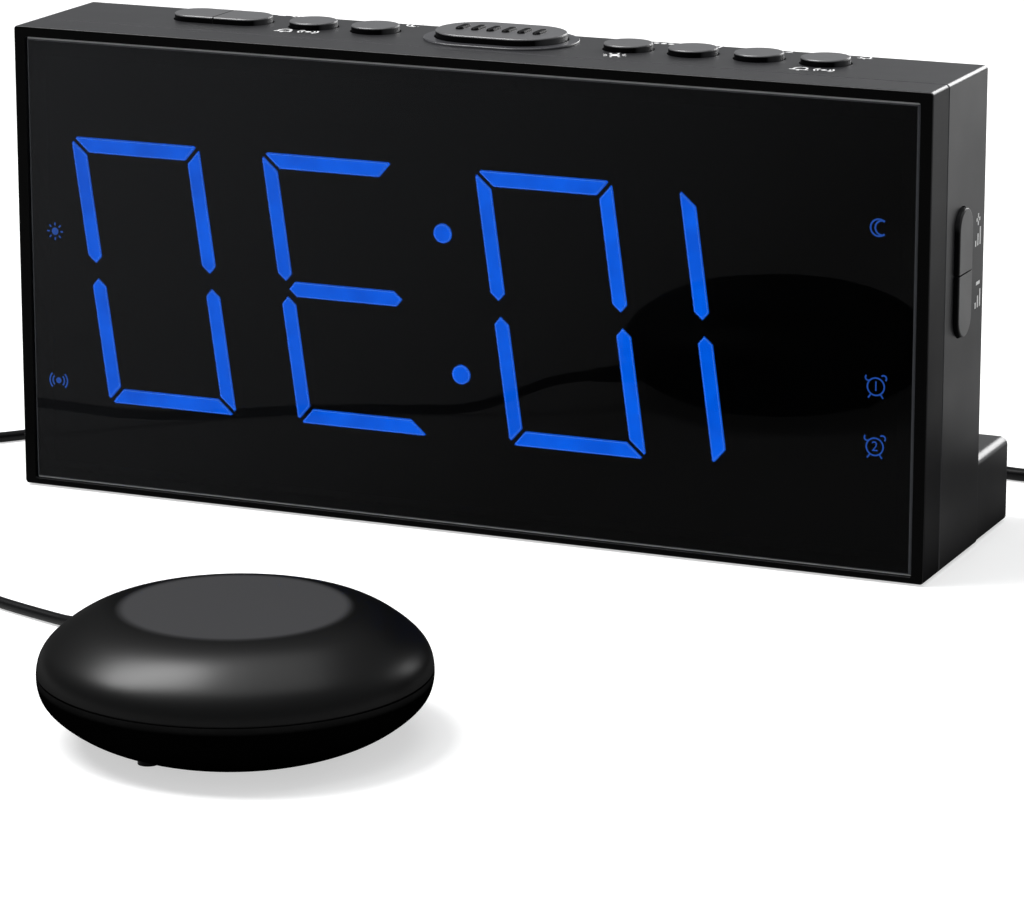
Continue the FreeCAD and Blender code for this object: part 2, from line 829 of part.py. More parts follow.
def screw(seat, direction):
    """A small pan-head screw whose head rests at `seat` and whose shank runs along `direction`."""
    head = rod(seat, direction * -1, small_head_radius, small_head_height)
    shank = rod(seat, direction, small_screw_radius - screw_play, small_screw_grip)
    return fuse([head, shank])


def board_screws():
    screws = [screw(at(x, display_board_back, z), Y * -1) for x, z in display_screw_places()]
    screws += [screw(at(x, y, key_board_bottom), Z) for x, y in key_post_places()]
    inner = side_board_inner() - key_board_thickness
    screws += [screw(at(inner, y, z), X) for y, z in side_post_places()]
    for x, y in main_post_places():
        head = rod(at(x, y, main_board_top), Z, small_head_radius, small_head_height)
        grip = main_board_lift / 3
        shank = rod(at(x, y, floor_top - grip), Z, small_screw_radius - screw_play,
                    main_board_top - floor_top + grip)
        screws.append(fuse([head, shank]))
    return screws


# Main board, sockets and speaker

def socket_height(size):
    return main_board_top + size[2] / 2


def main_board():
    board = block(main_board_left, main_board_right, main_board_front, main_board_back,
                  floor_top + main_board_lift, main_board_top)
    return board.cut([rod(at(x, y, floor_top), Z, small_screw_radius + fit, main_board_lift * 3)
                      for x, y in main_post_places()])


def ribbon_ends():
    """Where the ribbon cable leaves its connector on the display board, and enters the main board's."""
    high = at(ribbon_x, display_board_back + connector_size[1], ribbon_height)
    low = at(ribbon_x, main_board_front, main_board_top + connector_size[2] / 2)
    return high, low


def board_chips():
    top = main_board_top
    middle = (main_board_front + main_board_back) / 2
    parts = []
    for along, long, wide, tall in chips:
        x = main_board_left + along * main_board_length
        parts.append(block(x, x + long, middle - wide / 2, middle + wide / 2, top, top + tall))
    for along, back in capacitors:
        place = at(main_board_left + along * main_board_length, main_board_front + back, top)
        can = rod(place, Z, capacitor_radius, capacitor_height)
        parts.append(can.makeChamfer(capacitor_radius / 5,
                                     [e for e in can.Edges if lies_at(e, "z", top + capacitor_height)]))
    high, low = ribbon_ends()
    half, deep, tall = connector_size[0] / 2, connector_size[1], connector_size[2]
    left, right = ribbon_x - half, ribbon_x + half
    parts.append(block(left, right, high.y - deep, high.y, high.z - tall / 2, high.z + tall / 2))
    parts.append(block(left, right, low.y, low.y + deep, top, top + tall))
    return parts


def ribbon_cable():
    """A flat cable that joins the two boards in one soft bend."""
    high, low = ribbon_ends()
    bend = (low.y - high.y) / 2
    path = Part.BezierCurve()
    path.setPoles([high, high + Y * bend, low - Y * bend, low])
    across = X * (ribbon_width / 2)
    down = Z * (ribbon_thickness / 2)
    corners = [high - across - down, high + across - down, high + across + down, high - across + down]
    section = Part.makePolygon([*corners, corners[0]])
    return Part.Wire([path.toShape()]).makePipeShell([section], True, False)


def power_jack():
    wide, deep, tall = power_socket_size
    back, top = main_board_back, main_board_top
    axis = socket_height(power_socket_size)
    body = block(power_socket_x - wide / 2, power_socket_x + wide / 2, back - deep, back, top, top + tall)
    bore = rod(at(power_socket_x, back - deep + 1.5, axis), Y, power_bore_radius, deep)
    pin = rod(at(power_socket_x, back - deep + 1, axis), Y, power_pin_radius, deep - 2)
    return fuse([body.cut(bore), pin])


def shaker_jack():
    wide, deep, tall = shaker_socket_size
    back, top = main_board_back, main_board_top
    axis = socket_height(shaker_socket_size)
    body = block(shaker_socket_x - wide / 2, shaker_socket_x + wide / 2, back - deep, back, top, top + tall)
    return body.cut(rod(at(shaker_socket_x, back - deep - 1, axis), Y, shaker_bore_radius, deep + 2))


def speaker_profile(points):
    """A body of revolution about the speaker's axis from (distance forward, radius) corners."""
    back = case_back - wall
    face = Part.Face(Part.makePolygon([at(r, back - d, speaker_height) for d, r in [*points, points[0]]]))
    return face.revolve(at(0, 0, speaker_height), Y, 360)


def speaker_frame():
    deep = speaker_depth - magnet_depth
    back, inner = deep + basket_thickness, speaker_radius - speaker_flange
    r, m = speaker_radius, magnet_radius
    return speaker_profile([(0, r), (0, inner), (speaker_rim, inner), (deep, m - 2), (deep, 0.01),
                            (back, 0.01), (back, m - 2), (deep, m), (speaker_rim + basket_thickness, r)])


def speaker_cone():
    r, m = speaker_radius - cone_from_edge, magnet_radius - dome_from_edge
    low = speaker_depth - magnet_depth - cone_floor
    dome, thick = low - dome_rise, cone_thickness
    return speaker_profile([(cone_start, r), (cone_start, r - cone_roll), (low, m), (dome, 0.01),
                            (dome + thick, 0.01), (low + thick, m - thick / 4),
                            (cone_start + thick, r - 0.75 * thick), (cone_start + thick, r)])


def speaker_magnet():
    start = case_back - wall - (speaker_depth - magnet_depth) - basket_thickness
    magnet = rod(at(0, start - magnet_depth, speaker_height), Y, magnet_radius, magnet_depth)
    return round_edges(magnet, magnet_edge, lambda e: lies_at(e, "y", start - magnet_depth))


# Battery bay contents and door

def backup_cells():
    """The cells lie side by side, turned end for end in turn."""
    cells = []
    for i, (y, z) in enumerate(cell_rows()):
        way = X if i % 2 == 0 else X * -1
        start = at(bay_centre, y, z) - way * (cell_length / 2)
        body = rod(start, way, cell_radius, cell_length - cell_nub_length)
        nub = rod(start + way * (cell_length - cell_nub_length), way, cell_nub_radius, cell_nub_length)
        cells.append(fuse([body, nub]))
    return cells


def battery_contacts():
    """A plate at each end of each cell; the negative one carries its conical spring."""
    contacts = []
    half = cell_radius * 0.88
    room = contact_room - contact_thickness - fit
    for i, (y, z) in enumerate(cell_rows()):
        for edge, inward, spring_row in ((bay_left, X, 0), (bay_right, X * -1, 1)):
            face = at(edge, y, z) + inward * contact_thickness
            x0, x1 = sorted((edge, face.x))
            plate = block(x0, x1, y - half, y + half, z - half, z + half)
            radii = spring_radii if i % 2 == spring_row else dimple_radii
            contacts.append(fuse([plate, cone(face, inward, *radii, room)]))
    return contacts


def battery_door():
    low = case_bottom + door_gap
    left, right, front = bay_left - door_lap, bay_right + door_lap, bay_front - door_lap
    plate = block(left, right, front, foot_back, low, low + door_thickness)
    tongue_low = case_bottom + 3 * door_gap
    tongue = block(left - door_tongue, right + door_tongue, front, foot_back - door_lap,
                   tongue_low, low + door_thickness)
    long, wide, deep = door_grip_size
    grips = [pill(at(bay_centre, foot_back - door_grip_from_back - door_grip_pitch * i, low - 1), X, Y,
                  long, wide, Z * (1 + deep)) for i in range(door_grip_count)]
    return fuse([plate, tongue]).cut(grips)


# Cords: straight runs joined by tangent arcs, and each coil as one ring with two tails

def tube_path(points):
    """The edges of a route, and its bend radii."""
    edges, radii = [], []
    start = points[0]
    for before, corner, after in zip(points, points[1:], points[2:]):
        arriving, leaving = (corner - before), (after - corner)
        run = min(arriving.Length, leaving.Length)
        arriving.normalize()
        leaving.normalize()
        turn = arriving.getAngle(leaving)
        radius = 0.45 * run / math.tan(turn / 2)
        reach = 0.45 * run
        first, last = corner - arriving * reach, corner + leaving * reach
        inward = leaving - arriving
        inward.normalize()
        sag = radius / math.cos(turn / 2) - radius
        edges.append(Part.LineSegment(start, first).toShape())
        edges.append(Part.Arc(first, corner + inward * sag, last).toShape())
        radii.append(radius)
        start = last
    edges.append(Part.LineSegment(start, points[-1]).toShape())
    return edges, radii


def tube(name, route, radius):
    points = [at(*point) for point in route]
    edges, radii = tube_path(points)
    path = Part.Wire(edges)
    circle = Part.Wire(Part.Circle(points[0], points[1] - points[0], radius).toShape())
    solid = path.makePipeShell([circle], True, False)
    print(name, "length", round(path.Length, 1), "volume over section times length",
          round(solid.Volume / (math.pi * radius ** 2 * path.Length), 4),
          "smallest radius in diameters", round(min(radii) / radius / 2, 1))
    print("  radii", [round(r, 1) for r in radii])
    return solid


def coil_ring(centre, radius, across, layers):
    """The ring's inner radius, outer radius and height."""
    pitch = 2 * radius * turn_pitch
    middle = coil_diameters * radius
    return middle - across * pitch / 2, middle + across * pitch / 2, layers * pitch


def coil(centre, radius, across, layers, tails):
    """The outer shape of a wound coil, with the ends of the cord that leave it."""
    inner, outer, height = coil_ring(centre, radius, across, layers)
    ring = rod(at(*centre, 0), Z, outer, height).cut(rod(at(*centre, -1), Z, inner, height + 2))
    ring = round_edges(ring, radius * 0.9, lambda e: True if e.Closed else False)
    parts = [ring]
    for point, direction, length in tails:
        parts.append(rod(at(*point), at(*direction), radius, length))
    return fuse(parts)


def outer_turn(centre, radius, across, angle):
    """A point of the outermost turn's centre line and the direction along it, anticlockwise."""
    pitch = 2 * radius * turn_pitch
    reach = coil_diameters * radius + (across - 1) * pitch / 2
    a = math.radians(angle)
    return (centre[0] + reach * math.cos(a), centre[1] + reach * math.sin(a)), (-math.sin(a), math.cos(a))


power_pitch = 2 * power_cord_radius * turn_pitch
shaker_pitch = 2 * shaker_cord_radius * turn_pitch
power_floor = power_cord_radius + 0.05
shaker_floor = shaker_cord_radius + 0.05
power_top = power_floor + (power_coil_layers - 1) * power_pitch
shaker_top = shaker_floor + (shaker_coil_layers - 1) * shaker_pitch
plug_face = foot_back + 0.1
power_exit = (power_socket_x, plug_face + plug_grip_length + relief_length, socket_height(power_socket_size))
shaker_exit = (shaker_socket_x, plug_face + jack_grip_length + relief_length,
               socket_height(shaker_socket_size))

power_in, power_in_way = outer_turn(power_coil_centre, power_cord_radius, power_coil_turns_across, 90)
power_out, power_out_way = outer_turn(power_coil_centre, power_cord_radius, power_coil_turns_across, 0)
shaker_in, shaker_in_way = outer_turn(shaker_coil_centre, shaker_cord_radius, shaker_coil_turns_across,
                                       shaker_coil_entry)
shaker_out, shaker_out_way = outer_turn(shaker_coil_centre, shaker_cord_radius, shaker_coil_turns_across,
                                         shaker_coil_leave)


def tail(point, height, way, sign):
    """The end of a tail that leaves a coil's outer turn, `sign` along or against its winding."""
    return (point[0] + sign * way[0] * tail_length, point[1] + sign * way[1] * tail_length, height)


power_tail_in = tail(power_in, power_floor, power_in_way, 1)
power_tail_out = tail(power_out, power_top, power_out_way, -1)
shaker_tail_in = tail(shaker_in, shaker_floor, shaker_in_way, -1)
shaker_tail_out = tail(shaker_out, shaker_top, shaker_out_way, 1)


def ahead(point, way, distance):
    """The point that lies `distance` further on than another, along a level direction."""
    return (point[0] + way[0] * distance, point[1] + way[1] * distance, point[2])


adapter_entry = (158.0, power_coil_centre[1] - adapter_from_coil, 8.0)
adapter_face = adapter_entry[1] - 10.0
grommet_way = at(math.cos(math.radians(grommet_angle)), math.sin(math.radians(grommet_angle)), 0)
grommet_end = (shaker_centre[0] + grommet_way.x * grommet_reach,
               shaker_centre[1] + grommet_way.y * grommet_reach, grommet_height)

power_route = [
    power_exit,
    ahead(power_exit, Y, lead_in),
    (power_exit[0] + 1.5, 72.5, 8.6),
    (38.0, 80.0, 4.6),
    (48.5, 82.3, 1.9),
    (60.5, 78.5, power_floor),
    (71.0, 70.0, power_floor),
    (79.8, 61.7, power_floor),
    (90.8, 57.7, power_floor),
    (101.0, 59.0, power_floor),
    ahead(power_tail_in, power_in_way, lead_in),
    power_tail_in,
]
power_end_route = [
    power_tail_out,
    ahead(power_tail_out, power_out_way, -lead_in),
    (152.0, 12.5, 7.2),
    (155.5, 2.5, 5.0),
    ahead(adapter_entry, Y, lead_in),
    adapter_entry,
]
shaker_route = [
    shaker_exit,
    ahead(shaker_exit, Y, lead_in),
    (shaker_exit[0] - 1.8, 69.3, 7.2),
    (-16.5, 77.0, 4.0),
    (-27.5, 80.0, 1.6),
    (-41.0, 77.5, shaker_floor),
    (-57.0, 71.0, shaker_floor),
    (-74.0, 62.5, shaker_floor),
    (-90.5, 51.0, shaker_floor),
    (-103.0, 35.5, shaker_floor),
    (-110.5, 20.0, shaker_floor),
    (-117.2, 7.2, shaker_floor),
    (-125.3, -1.3, shaker_floor),
    ahead(shaker_tail_in, shaker_in_way, -lead_in),
    shaker_tail_in,
]
shaker_end_route = [
    shaker_tail_out,
    ahead(shaker_tail_out, shaker_out_way, lead_in),
    (-114.5, -70.6, 5.9),
    (-103.0, -80.5, 2.6),
    (-90.5, -91.0, shaker_floor),
    (-76.0, -103.4, shaker_floor),
    (-60.1, -111.3, shaker_floor),
    (-48.0, -115.7, shaker_floor),
    (-38.2, -119.3, 1.4),
    (-29.2, -125.1, 4.4),
    ahead(grommet_end, grommet_way, lead_in),
    grommet_end,
]


def power_cord():
    return [tube("power_cord", power_route, power_cord_radius),
            tube("power_cord end", power_end_route, power_cord_radius)]


def shaker_cord():
    return [tube("shaker_cord", shaker_route, shaker_cord_radius),
            tube("shaker_cord end", shaker_end_route, shaker_cord_radius)]


def power_coil():
    away = (-power_in_way[0], -power_in_way[1], 0)
    leave = (power_out_way[0], power_out_way[1], 0)
    return coil(power_coil_centre, power_cord_radius, power_coil_turns_across, power_coil_layers,
                [(power_tail_in, away, tail_length), (power_tail_out, leave, tail_length)])


def shaker_coil():
    toward = (shaker_in_way[0], shaker_in_way[1], 0)
    back = (-shaker_out_way[0], -shaker_out_way[1], 0)
    return coil(shaker_coil_centre, shaker_cord_radius, shaker_coil_turns_across, shaker_coil_layers,
                [(shaker_tail_in, toward, tail_length), (shaker_tail_out, back, tail_length)])


def moulded_plug(x, height, pin_radius, pin_length, grip_radius, grip_length, cord_radius):
    """A straight plug: metal pin, gripped body and a tapered relief that the cord leaves."""
    root = at(x, plug_face, height)
    pin = rod(root - Y * pin_length, Y, pin_radius, pin_length)
    grip = rod(root, Y, grip_radius, grip_length)
    grip = round_edges(grip, plug_edge, lambda e: e.Closed)
    taper = cone(root + Y * grip_length, Y, cord_radius + relief_collar, cord_radius + relief_lip,
                 relief_length)
    return pin, fuse([grip, taper])


def power_plug():
    height = socket_height(power_socket_size)
    pin, grip = moulded_plug(power_socket_x, height, plug_sleeve_radius, plug_sleeve_length,
                             plug_grip_radius, plug_grip_length, power_cord_radius)
    bore = rod(at(power_socket_x, plug_face - plug_sleeve_length - 1, height), Y,
               plug_bore_radius, plug_sleeve_length)
    return fuse([pin, grip]).cut(bore)


def shaker_plug():
    height = socket_height(shaker_socket_size)
    pin, grip = moulded_plug(shaker_socket_x, height, jack_pin_radius, jack_pin_length,
                             jack_grip_radius, jack_grip_length, shaker_cord_radius)
    pin = round_edges(pin, jack_pin_radius * 0.7, lambda e: lies_at(e, "y", plug_face - jack_pin_length))
    return fuse([pin, grip])


def adapter_body():
    wide, deep, tall = adapter_size
    x = adapter_entry[0]
    body = block(x - wide / 2, x + wide / 2, adapter_face - deep, adapter_face, 0, tall)
    body = round_edges(body, adapter_corner, lambda e: runs_along(e, Z))
    body = round_edges(body, adapter_edge, lambda e: lies_at(e, "z", tall) or lies_at(e, "z", 0))
    relief = cone(at(x, adapter_face - 1, adapter_entry[2]), Y, power_cord_radius + adapter_collar,
                  power_cord_radius + relief_lip, adapter_entry[1] - adapter_face + 1)
    thick, long = blade_size[0] + fit, blade_size[1] + fit
    slots = [block(x + sx * blade_spacing / 2 - thick / 2, x + sx * blade_spacing / 2 + thick / 2,
                   blade_centre() - long / 2, blade_centre() + long / 2, tall - blade_root, tall + 1)
             for sx in (-1, 1)]
    return fuse([body, relief]).cut(slots)


def blade_centre():
    return adapter_face - blade_from_face


def adapter_blades():
    wide, long, tall = blade_size
    low = adapter_size[2] - blade_root
    tip = low + blade_root + tall
    blades = []
    for sx in (-1, 1):
        x = adapter_entry[0] + sx * blade_spacing / 2
        y = blade_centre()
        blade = block(x - wide / 2, x + wide / 2, y - long / 2, y + long / 2, low, tip)
        blade = round_edges(blade, blade_corner, lambda e: runs_along(e, X) and lies_at(e, "z", tip))
        hole = rod(at(x - wide, y, low + tall), X, blade_hole_radius, 2 * wide)
        blades.append(blade.cut(hole))
    return blades


# Bed shaker: two shells, with the motor and its eccentric weight clamped inside

def shaker_solid(shrink, low, high):
    """The puck's form, drawn in by `shrink`, between two heights."""
    heights = [z for r, z in shaker_outline]
    middle = shaker_outline[4][1]
    squeeze = (shaker_height / 2 - shrink) / (shaker_height / 2)
    points = [at(r - shrink, 0, middle + (z - middle) * squeeze) for r, z in shaker_outline]
    curve = Part.BSplineCurve()
    curve.interpolate(points)
    top, bottom = points[-1], points[0]
    edges = [curve.toShape(), Part.LineSegment(top, at(0, 0, top.z)).toShape(),
             Part.LineSegment(at(0, 0, top.z), at(0, 0, bottom.z)).toShape(),
             Part.LineSegment(at(0, 0, bottom.z), bottom).toShape()]
    solid = Part.Face(Part.Wire(edges)).revolve(at(0, 0, 0), Z, 360)
    keep = rod(at(0, 0, low), Z, 2 * shaker_outline[4][0], high - low)
    solid = solid.common(keep)
    solid.translate(at(*shaker_centre, 0))
    return solid


def grommet_rod(radius, start, length):
    base = at(*shaker_centre, grommet_height) + grommet_way * start
    return rod(base, grommet_way, radius, length)


def grommet_cuts():
    """The bore and the flange's seat that the base shell has for the cord grommet."""
    seat = grommet_seat - grommet_bore_start
    return [grommet_rod(grommet_neck_radius + fit, grommet_bore_start, grommet_reach - grommet_bore_start),
            grommet_rod(grommet_flange_radius + fit, grommet_bore_start, seat)]


def parting_groove():
    """The fine groove round the puck that the edges of both shells leave between them."""
    low, high = shaker_parting - groove_half_height, shaker_parting + groove_half_height
    band = rod(at(*shaker_centre, low), Z, 2 * shaker_outline[4][0], high - low)
    return band.cut(shaker_solid(groove_depth, low - 1, high + 1))


def shaker_screw_places():
    return [(shaker_centre[0] + shaker_screw_circle * math.cos(math.radians(a)),
             shaker_centre[1] + shaker_screw_circle * math.sin(math.radians(a))) for a in (20, 200, 260)]


def shaker_top_shell():
    shell = shaker_solid(0, shaker_parting, shaker_height + 1)
    shell = shell.cut(shaker_solid(shaker_wall, shaker_parting - 1, shaker_height))
    posts, pilots = [], []
    for x, y in shaker_screw_places():
        posts.append(rod(at(x, y, shaker_parting), Z, shaker_post_radius, shaker_post_length))
        pilots.append(rod(at(x, y, shaker_parting - 1), Z, small_screw_radius, 1 + shaker_screw_grip))
    posts = [post.common(shaker_solid(shaker_wall / 2, shaker_parting, shaker_height)) for post in posts]
    return fuse([shell, *posts]).cut([*pilots, parting_groove()])


def shaker_base_shell():
    base = shaker_solid(0, 0, shaker_parting)
    base = base.cut(shaker_solid(shaker_wall, 0, shaker_parting + 1))
    posts, bores, heads = [], [], []
    for x, y in shaker_screw_places():
        posts.append(rod(at(x, y, shaker_wall / 2), Z, shaker_post_radius, shaker_parting - shaker_wall / 2))
        bores.append(rod(at(x, y, -1), Z, small_screw_radius + fit, shaker_height))
        heads.append(rod(at(x, y, -1), Z, small_head_radius + fit, 1 + shaker_head_seat))
    posts = [post.common(shaker_solid(shaker_wall / 2, 0, shaker_parting)) for post in posts]
    x, y = shaker_centre
    cradle = block(x + motor_back + 1, x + motor_back + motor_length - 1, y - motor_radius * 0.8,
                   y + motor_radius * 0.8, shaker_wall, motor_axis_height - motor_radius * 0.55)
    ears = [rod(at(cx, cy, shaker_wall), Z, ear_radius, ear_height() - shaker_wall)
            for cx, cy in clamp_screw_places()]
    motor_room = rod(at(x + motor_back - 1, y, motor_axis_height), X, motor_radius + fit, motor_length + 2)
    pilot_start = ear_height() - clamp_screw_grip - fit
    ear_pilots = [rod(at(cx, cy, pilot_start), Z, small_screw_radius, small_screw_grip)
                  for cx, cy in clamp_screw_places()]
    pad = rod(at(x, y, -1), Z, shaker_pad_radius + fit, 1 + shaker_pad_height)
    solid = fuse([base, *posts, cradle, *ears])
    return solid.cut([*bores, *heads, motor_room, *ear_pilots, pad,
                      *grommet_cuts(), parting_groove()])


def ear_height():
    return motor_axis_height - ear_drop


def clamp_screw_places():
    x = shaker_centre[0] + motor_back + motor_length / 2
    reach = motor_radius + clamp_thickness + (clamp_ear + 8 * fit) / 2
    return [(x, shaker_centre[1] + side * reach) for side in (-1, 1)]


def shaker_motor():
    x, y = shaker_centre
    body = rod(at(x + motor_back, y, motor_axis_height), X, motor_radius, motor_length)
    body = round_edges(body, motor_edge, lambda e: e.Closed)
    end = x + motor_back + motor_length
    bush = rod(at(end, y, motor_axis_height), X, bush_radius, bush_length)
    bore = rod(at(end - shaft_hold - 1, y, motor_axis_height), X, shaft_radius + motor_gap,
               shaft_hold + 2 * bush_length)
    return fuse([body, bush]).cut(bore)


def motor_clamp():
    """A strap over the motor, with an ear screwed down on each side."""
    x = shaker_centre[0] + motor_back + motor_length / 2
    y = shaker_centre[1]
    outer = motor_radius + clamp_thickness + fit
    hoop = rod(at(x - clamp_width / 2, y, motor_axis_height), X, outer, clamp_width)
    legs = block(x - clamp_width / 2, x + clamp_width / 2, y - outer, y + outer, ear_height(), motor_axis_height)
    reach = outer + clamp_ear
    feet = block(x - clamp_width / 2, x + clamp_width / 2, y - reach, y + reach,
                 ear_height(), ear_height() + clamp_thickness)
    above = block(x - clamp_width, x + clamp_width, y - 2 * reach, y + 2 * reach, ear_height(), shaker_height)
    strap = fuse([hoop.common(above), legs, feet])
    room = rod(at(x - clamp_width, y, motor_axis_height), X, motor_radius + fit, 2 * clamp_width)
    below = block(x - clamp_width, x + clamp_width, y - motor_radius - fit, y + motor_radius + fit,
                  0, motor_axis_height)
    holes = [rod(at(cx, cy, 0), Z, small_screw_radius + fit, shaker_height)
             for cx, cy in clamp_screw_places()]
    return strap.cut([room, below, *holes])


def shaker_screws():
    screws = []
    for x, y in shaker_screw_places():
        head = rod(at(x, y, shaker_head_seat - shaker_head_height), Z, small_head_radius, shaker_head_height)
        shank = rod(at(x, y, shaker_head_seat), Z, small_screw_radius - screw_play,
                    shaker_parting + shaker_screw_grip - 5 * fit - shaker_head_seat)
        screws.append(fuse([head, shank]))
    seat = ear_height() + clamp_thickness
    for x, y in clamp_screw_places():
        head = rod(at(x, y, seat), Z, small_head_radius, small_head_height)
        shank = rod(at(x, y, ear_height() - clamp_screw_grip), Z, small_screw_radius - screw_play,
                    clamp_thickness + clamp_screw_grip)
        screws.append(fuse([head, shank]))
    return screws


def motor_shaft():
    x, y = shaker_centre
    start = x + motor_back + motor_length - shaft_hold
    return rod(at(start, y, motor_axis_height), X, shaft_radius, shaft_hold + shaft_length)


def eccentric_weight():
    x, y = shaker_centre
    start = x + motor_back + motor_length + weight_gap
    axis = at(start, y, motor_axis_height)
    half_disc = rod(axis, X, weight_radius, weight_thickness)
    twice = 2 * weight_radius
    half_disc = half_disc.cut(block(start - 1, start + weight_thickness + 1, y - twice, y + twice,
                                    motor_axis_height, motor_axis_height + twice))
    hub = rod(axis, X, weight_hub_radius, weight_thickness)
    return fuse([half_disc, hub]).cut(rod(axis - X, X, shaft_radius, weight_thickness + 2))


def shaker_pad():
    return rod(at(*shaker_centre, 0), Z, shaker_pad_radius, shaker_pad_height)


def cord_grommet():
    wall_inside = grommet_seat - grommet_flange
    flange = grommet_rod(grommet_flange_radius, wall_inside, grommet_flange)
    neck = grommet_rod(grommet_neck_radius, wall_inside, grommet_neck_end - wall_inside)
    base = at(*shaker_centre, grommet_height) + grommet_way * grommet_neck_end
    taper = cone(base, grommet_way, grommet_neck_radius, shaker_cord_radius + relief_lip,
                 grommet_reach - grommet_neck_end)
    return fuse([flange, neck, taper])


nodes = {
    "front_bezel": front_bezel(),
    "rear_housing": rear_housing(),
    "display_lens": display_lens(),
    "display_mask": display_mask(),
    "lit_segments": lit_segments(),
    "unlit_segments": unlit_segments(),
    "colon_dots": colon(ledge_back, mask_back, colon_radius - fit),
    "indicator_windows": indicators(ledge_back, mask_back, -fit),
    "reflector": reflector(),
    "display_board": display_board(),
    "segment_leds": segment_leds(),
    "rubber_feet": rubber_feet(),
    "case_screws": case_screws(),
    "board_screws": board_screws(),
    "snooze_surround": snooze_surround(),
    "snooze_button": snooze_button(),
    "pair_key_left": pair_key(-1),
    "pair_key_right": pair_key(1),
    "volume_up_key": volume_key(1),
    "volume_down_key": volume_key(-1),
    "key_board": key_board(),
    "key_switches": key_switches(),
    "side_key_board": side_key_board(),
    "side_key_switches": side_key_switches(),
    "main_board": main_board(),
    "board_chips": board_chips(),
    "ribbon_cable": ribbon_cable(),
    "power_jack": power_jack(),
    "shaker_jack": shaker_jack(),
    "speaker_frame": speaker_frame(),
    "speaker_cone": speaker_cone(),
    "speaker_magnet": speaker_magnet(),
    "backup_cells": backup_cells(),
    "battery_contacts": battery_contacts(),
    "battery_door": battery_door(),
    "power_plug": power_plug(),
    "power_cord": power_cord(),
    "power_coil": power_coil(),
    "adapter_body": adapter_body(),
    "adapter_blades": adapter_blades(),
    "shaker_plug": shaker_plug(),
    "shaker_cord": shaker_cord(),
    "shaker_coil": shaker_coil(),
    "cord_grommet": cord_grommet(),
    "shaker_top_shell": shaker_top_shell(),
    "shaker_base_shell": shaker_base_shell(),
    "shaker_pad": shaker_pad(),
    "shaker_screws": shaker_screws(),
    "shaker_motor": shaker_motor(),
    "motor_clamp": motor_clamp(),
    "motor_shaft": motor_shaft(),
    "eccentric_weight": eccentric_weight(),
}
for side, places in (("left", left_keys), ("right", right_keys)):
    for number, key_x in enumerate(places, 1):
        nodes[f"{side}_key_{number}"] = round_key(key_x)

os.makedirs("parts", exist_ok=True)
for name, shape in nodes.items():
    solids = shape if isinstance(shape, list) else [shape]
    Part.makeCompound([s for shape in solids for s in shape.Solids]).exportStep(f"parts/{name}.step")
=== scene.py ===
import math

import bmesh
import bpy
from mathutils import Matrix, Vector


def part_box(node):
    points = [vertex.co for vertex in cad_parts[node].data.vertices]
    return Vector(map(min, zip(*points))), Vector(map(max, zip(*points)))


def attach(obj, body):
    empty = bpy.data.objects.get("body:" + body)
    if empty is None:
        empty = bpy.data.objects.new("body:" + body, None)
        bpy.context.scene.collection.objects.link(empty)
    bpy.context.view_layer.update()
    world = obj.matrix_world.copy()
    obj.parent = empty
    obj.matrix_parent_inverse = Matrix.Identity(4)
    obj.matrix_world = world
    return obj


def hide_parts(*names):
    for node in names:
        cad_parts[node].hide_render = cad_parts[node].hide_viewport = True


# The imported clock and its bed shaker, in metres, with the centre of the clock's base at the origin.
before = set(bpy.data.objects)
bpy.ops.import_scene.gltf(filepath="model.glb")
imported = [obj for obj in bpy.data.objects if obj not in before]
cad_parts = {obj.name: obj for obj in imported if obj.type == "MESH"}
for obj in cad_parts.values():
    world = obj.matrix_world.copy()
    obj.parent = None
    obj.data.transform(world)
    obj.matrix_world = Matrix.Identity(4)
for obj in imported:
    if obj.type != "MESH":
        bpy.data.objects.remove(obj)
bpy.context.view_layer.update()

# The camera stands right of the clock, above the table, and looks a little down on it.
# Its long lens keeps the upright edges nearly parallel.
yaw, pitch, roll = math.radians(23.380), math.radians(14.429), math.radians(-0.025)
ahead = Vector((-math.sin(yaw) * math.cos(pitch), math.cos(yaw) * math.cos(pitch), -math.sin(pitch)))
level = Vector((math.cos(yaw), math.sin(yaw), 0))
above = level.cross(ahead)
across = level * math.cos(roll) + above * math.sin(roll)
above = above * math.cos(roll) - level * math.sin(roll)
camera = bpy.data.objects.new("camera", bpy.data.cameras.new("camera"))
camera.data.lens = 169.25
camera.data.sensor_width = 36.0
camera.data.clip_start, camera.data.clip_end = 0.05, 30.0
camera_place = (0.38594, -0.89180, 0.26109)
camera.matrix_world = Matrix.LocRotScale(camera_place, Matrix((across, above, -ahead)).transposed(), None)
bpy.context.scene.collection.objects.link(camera)
bpy.context.scene.camera = camera
bpy.context.scene.view_settings.view_transform = "Standard"


# The table top and the studio: a pale matt sheet under the clock, a pale room round it and soft lamps.
# The sheet takes the clock's shadow, and what the eye or a gloss sees of it is lifted to white.
def linear(colour, alpha=1.0):
    """An sRGB hex colour as the linear values that a shader takes."""
    parts = [int(colour[i:i + 2], 16) / 255 for i in (1, 3, 5)]
    return [p / 12.92 if p <= 0.04045 else ((p + 0.055) / 1.055) ** 2.4 for p in parts] + [alpha]


def add(tree, kind, sockets=(), **settings):
    """Adds a node, with its settings, and fills its sockets with values or with other nodes' outputs."""
    made = tree.nodes.new("ShaderNode" + kind)
    for name, value in settings.items():
        setattr(made, name, value)
    for name, value in dict(sockets).items():
        if isinstance(value, bpy.types.NodeSocket):
            tree.links.new(value, made.inputs[name])
        elif isinstance(value, bpy.types.Node):
            tree.links.new(value.outputs[0], made.inputs[name])
        else:
            made.inputs[name].default_value = value
    return made


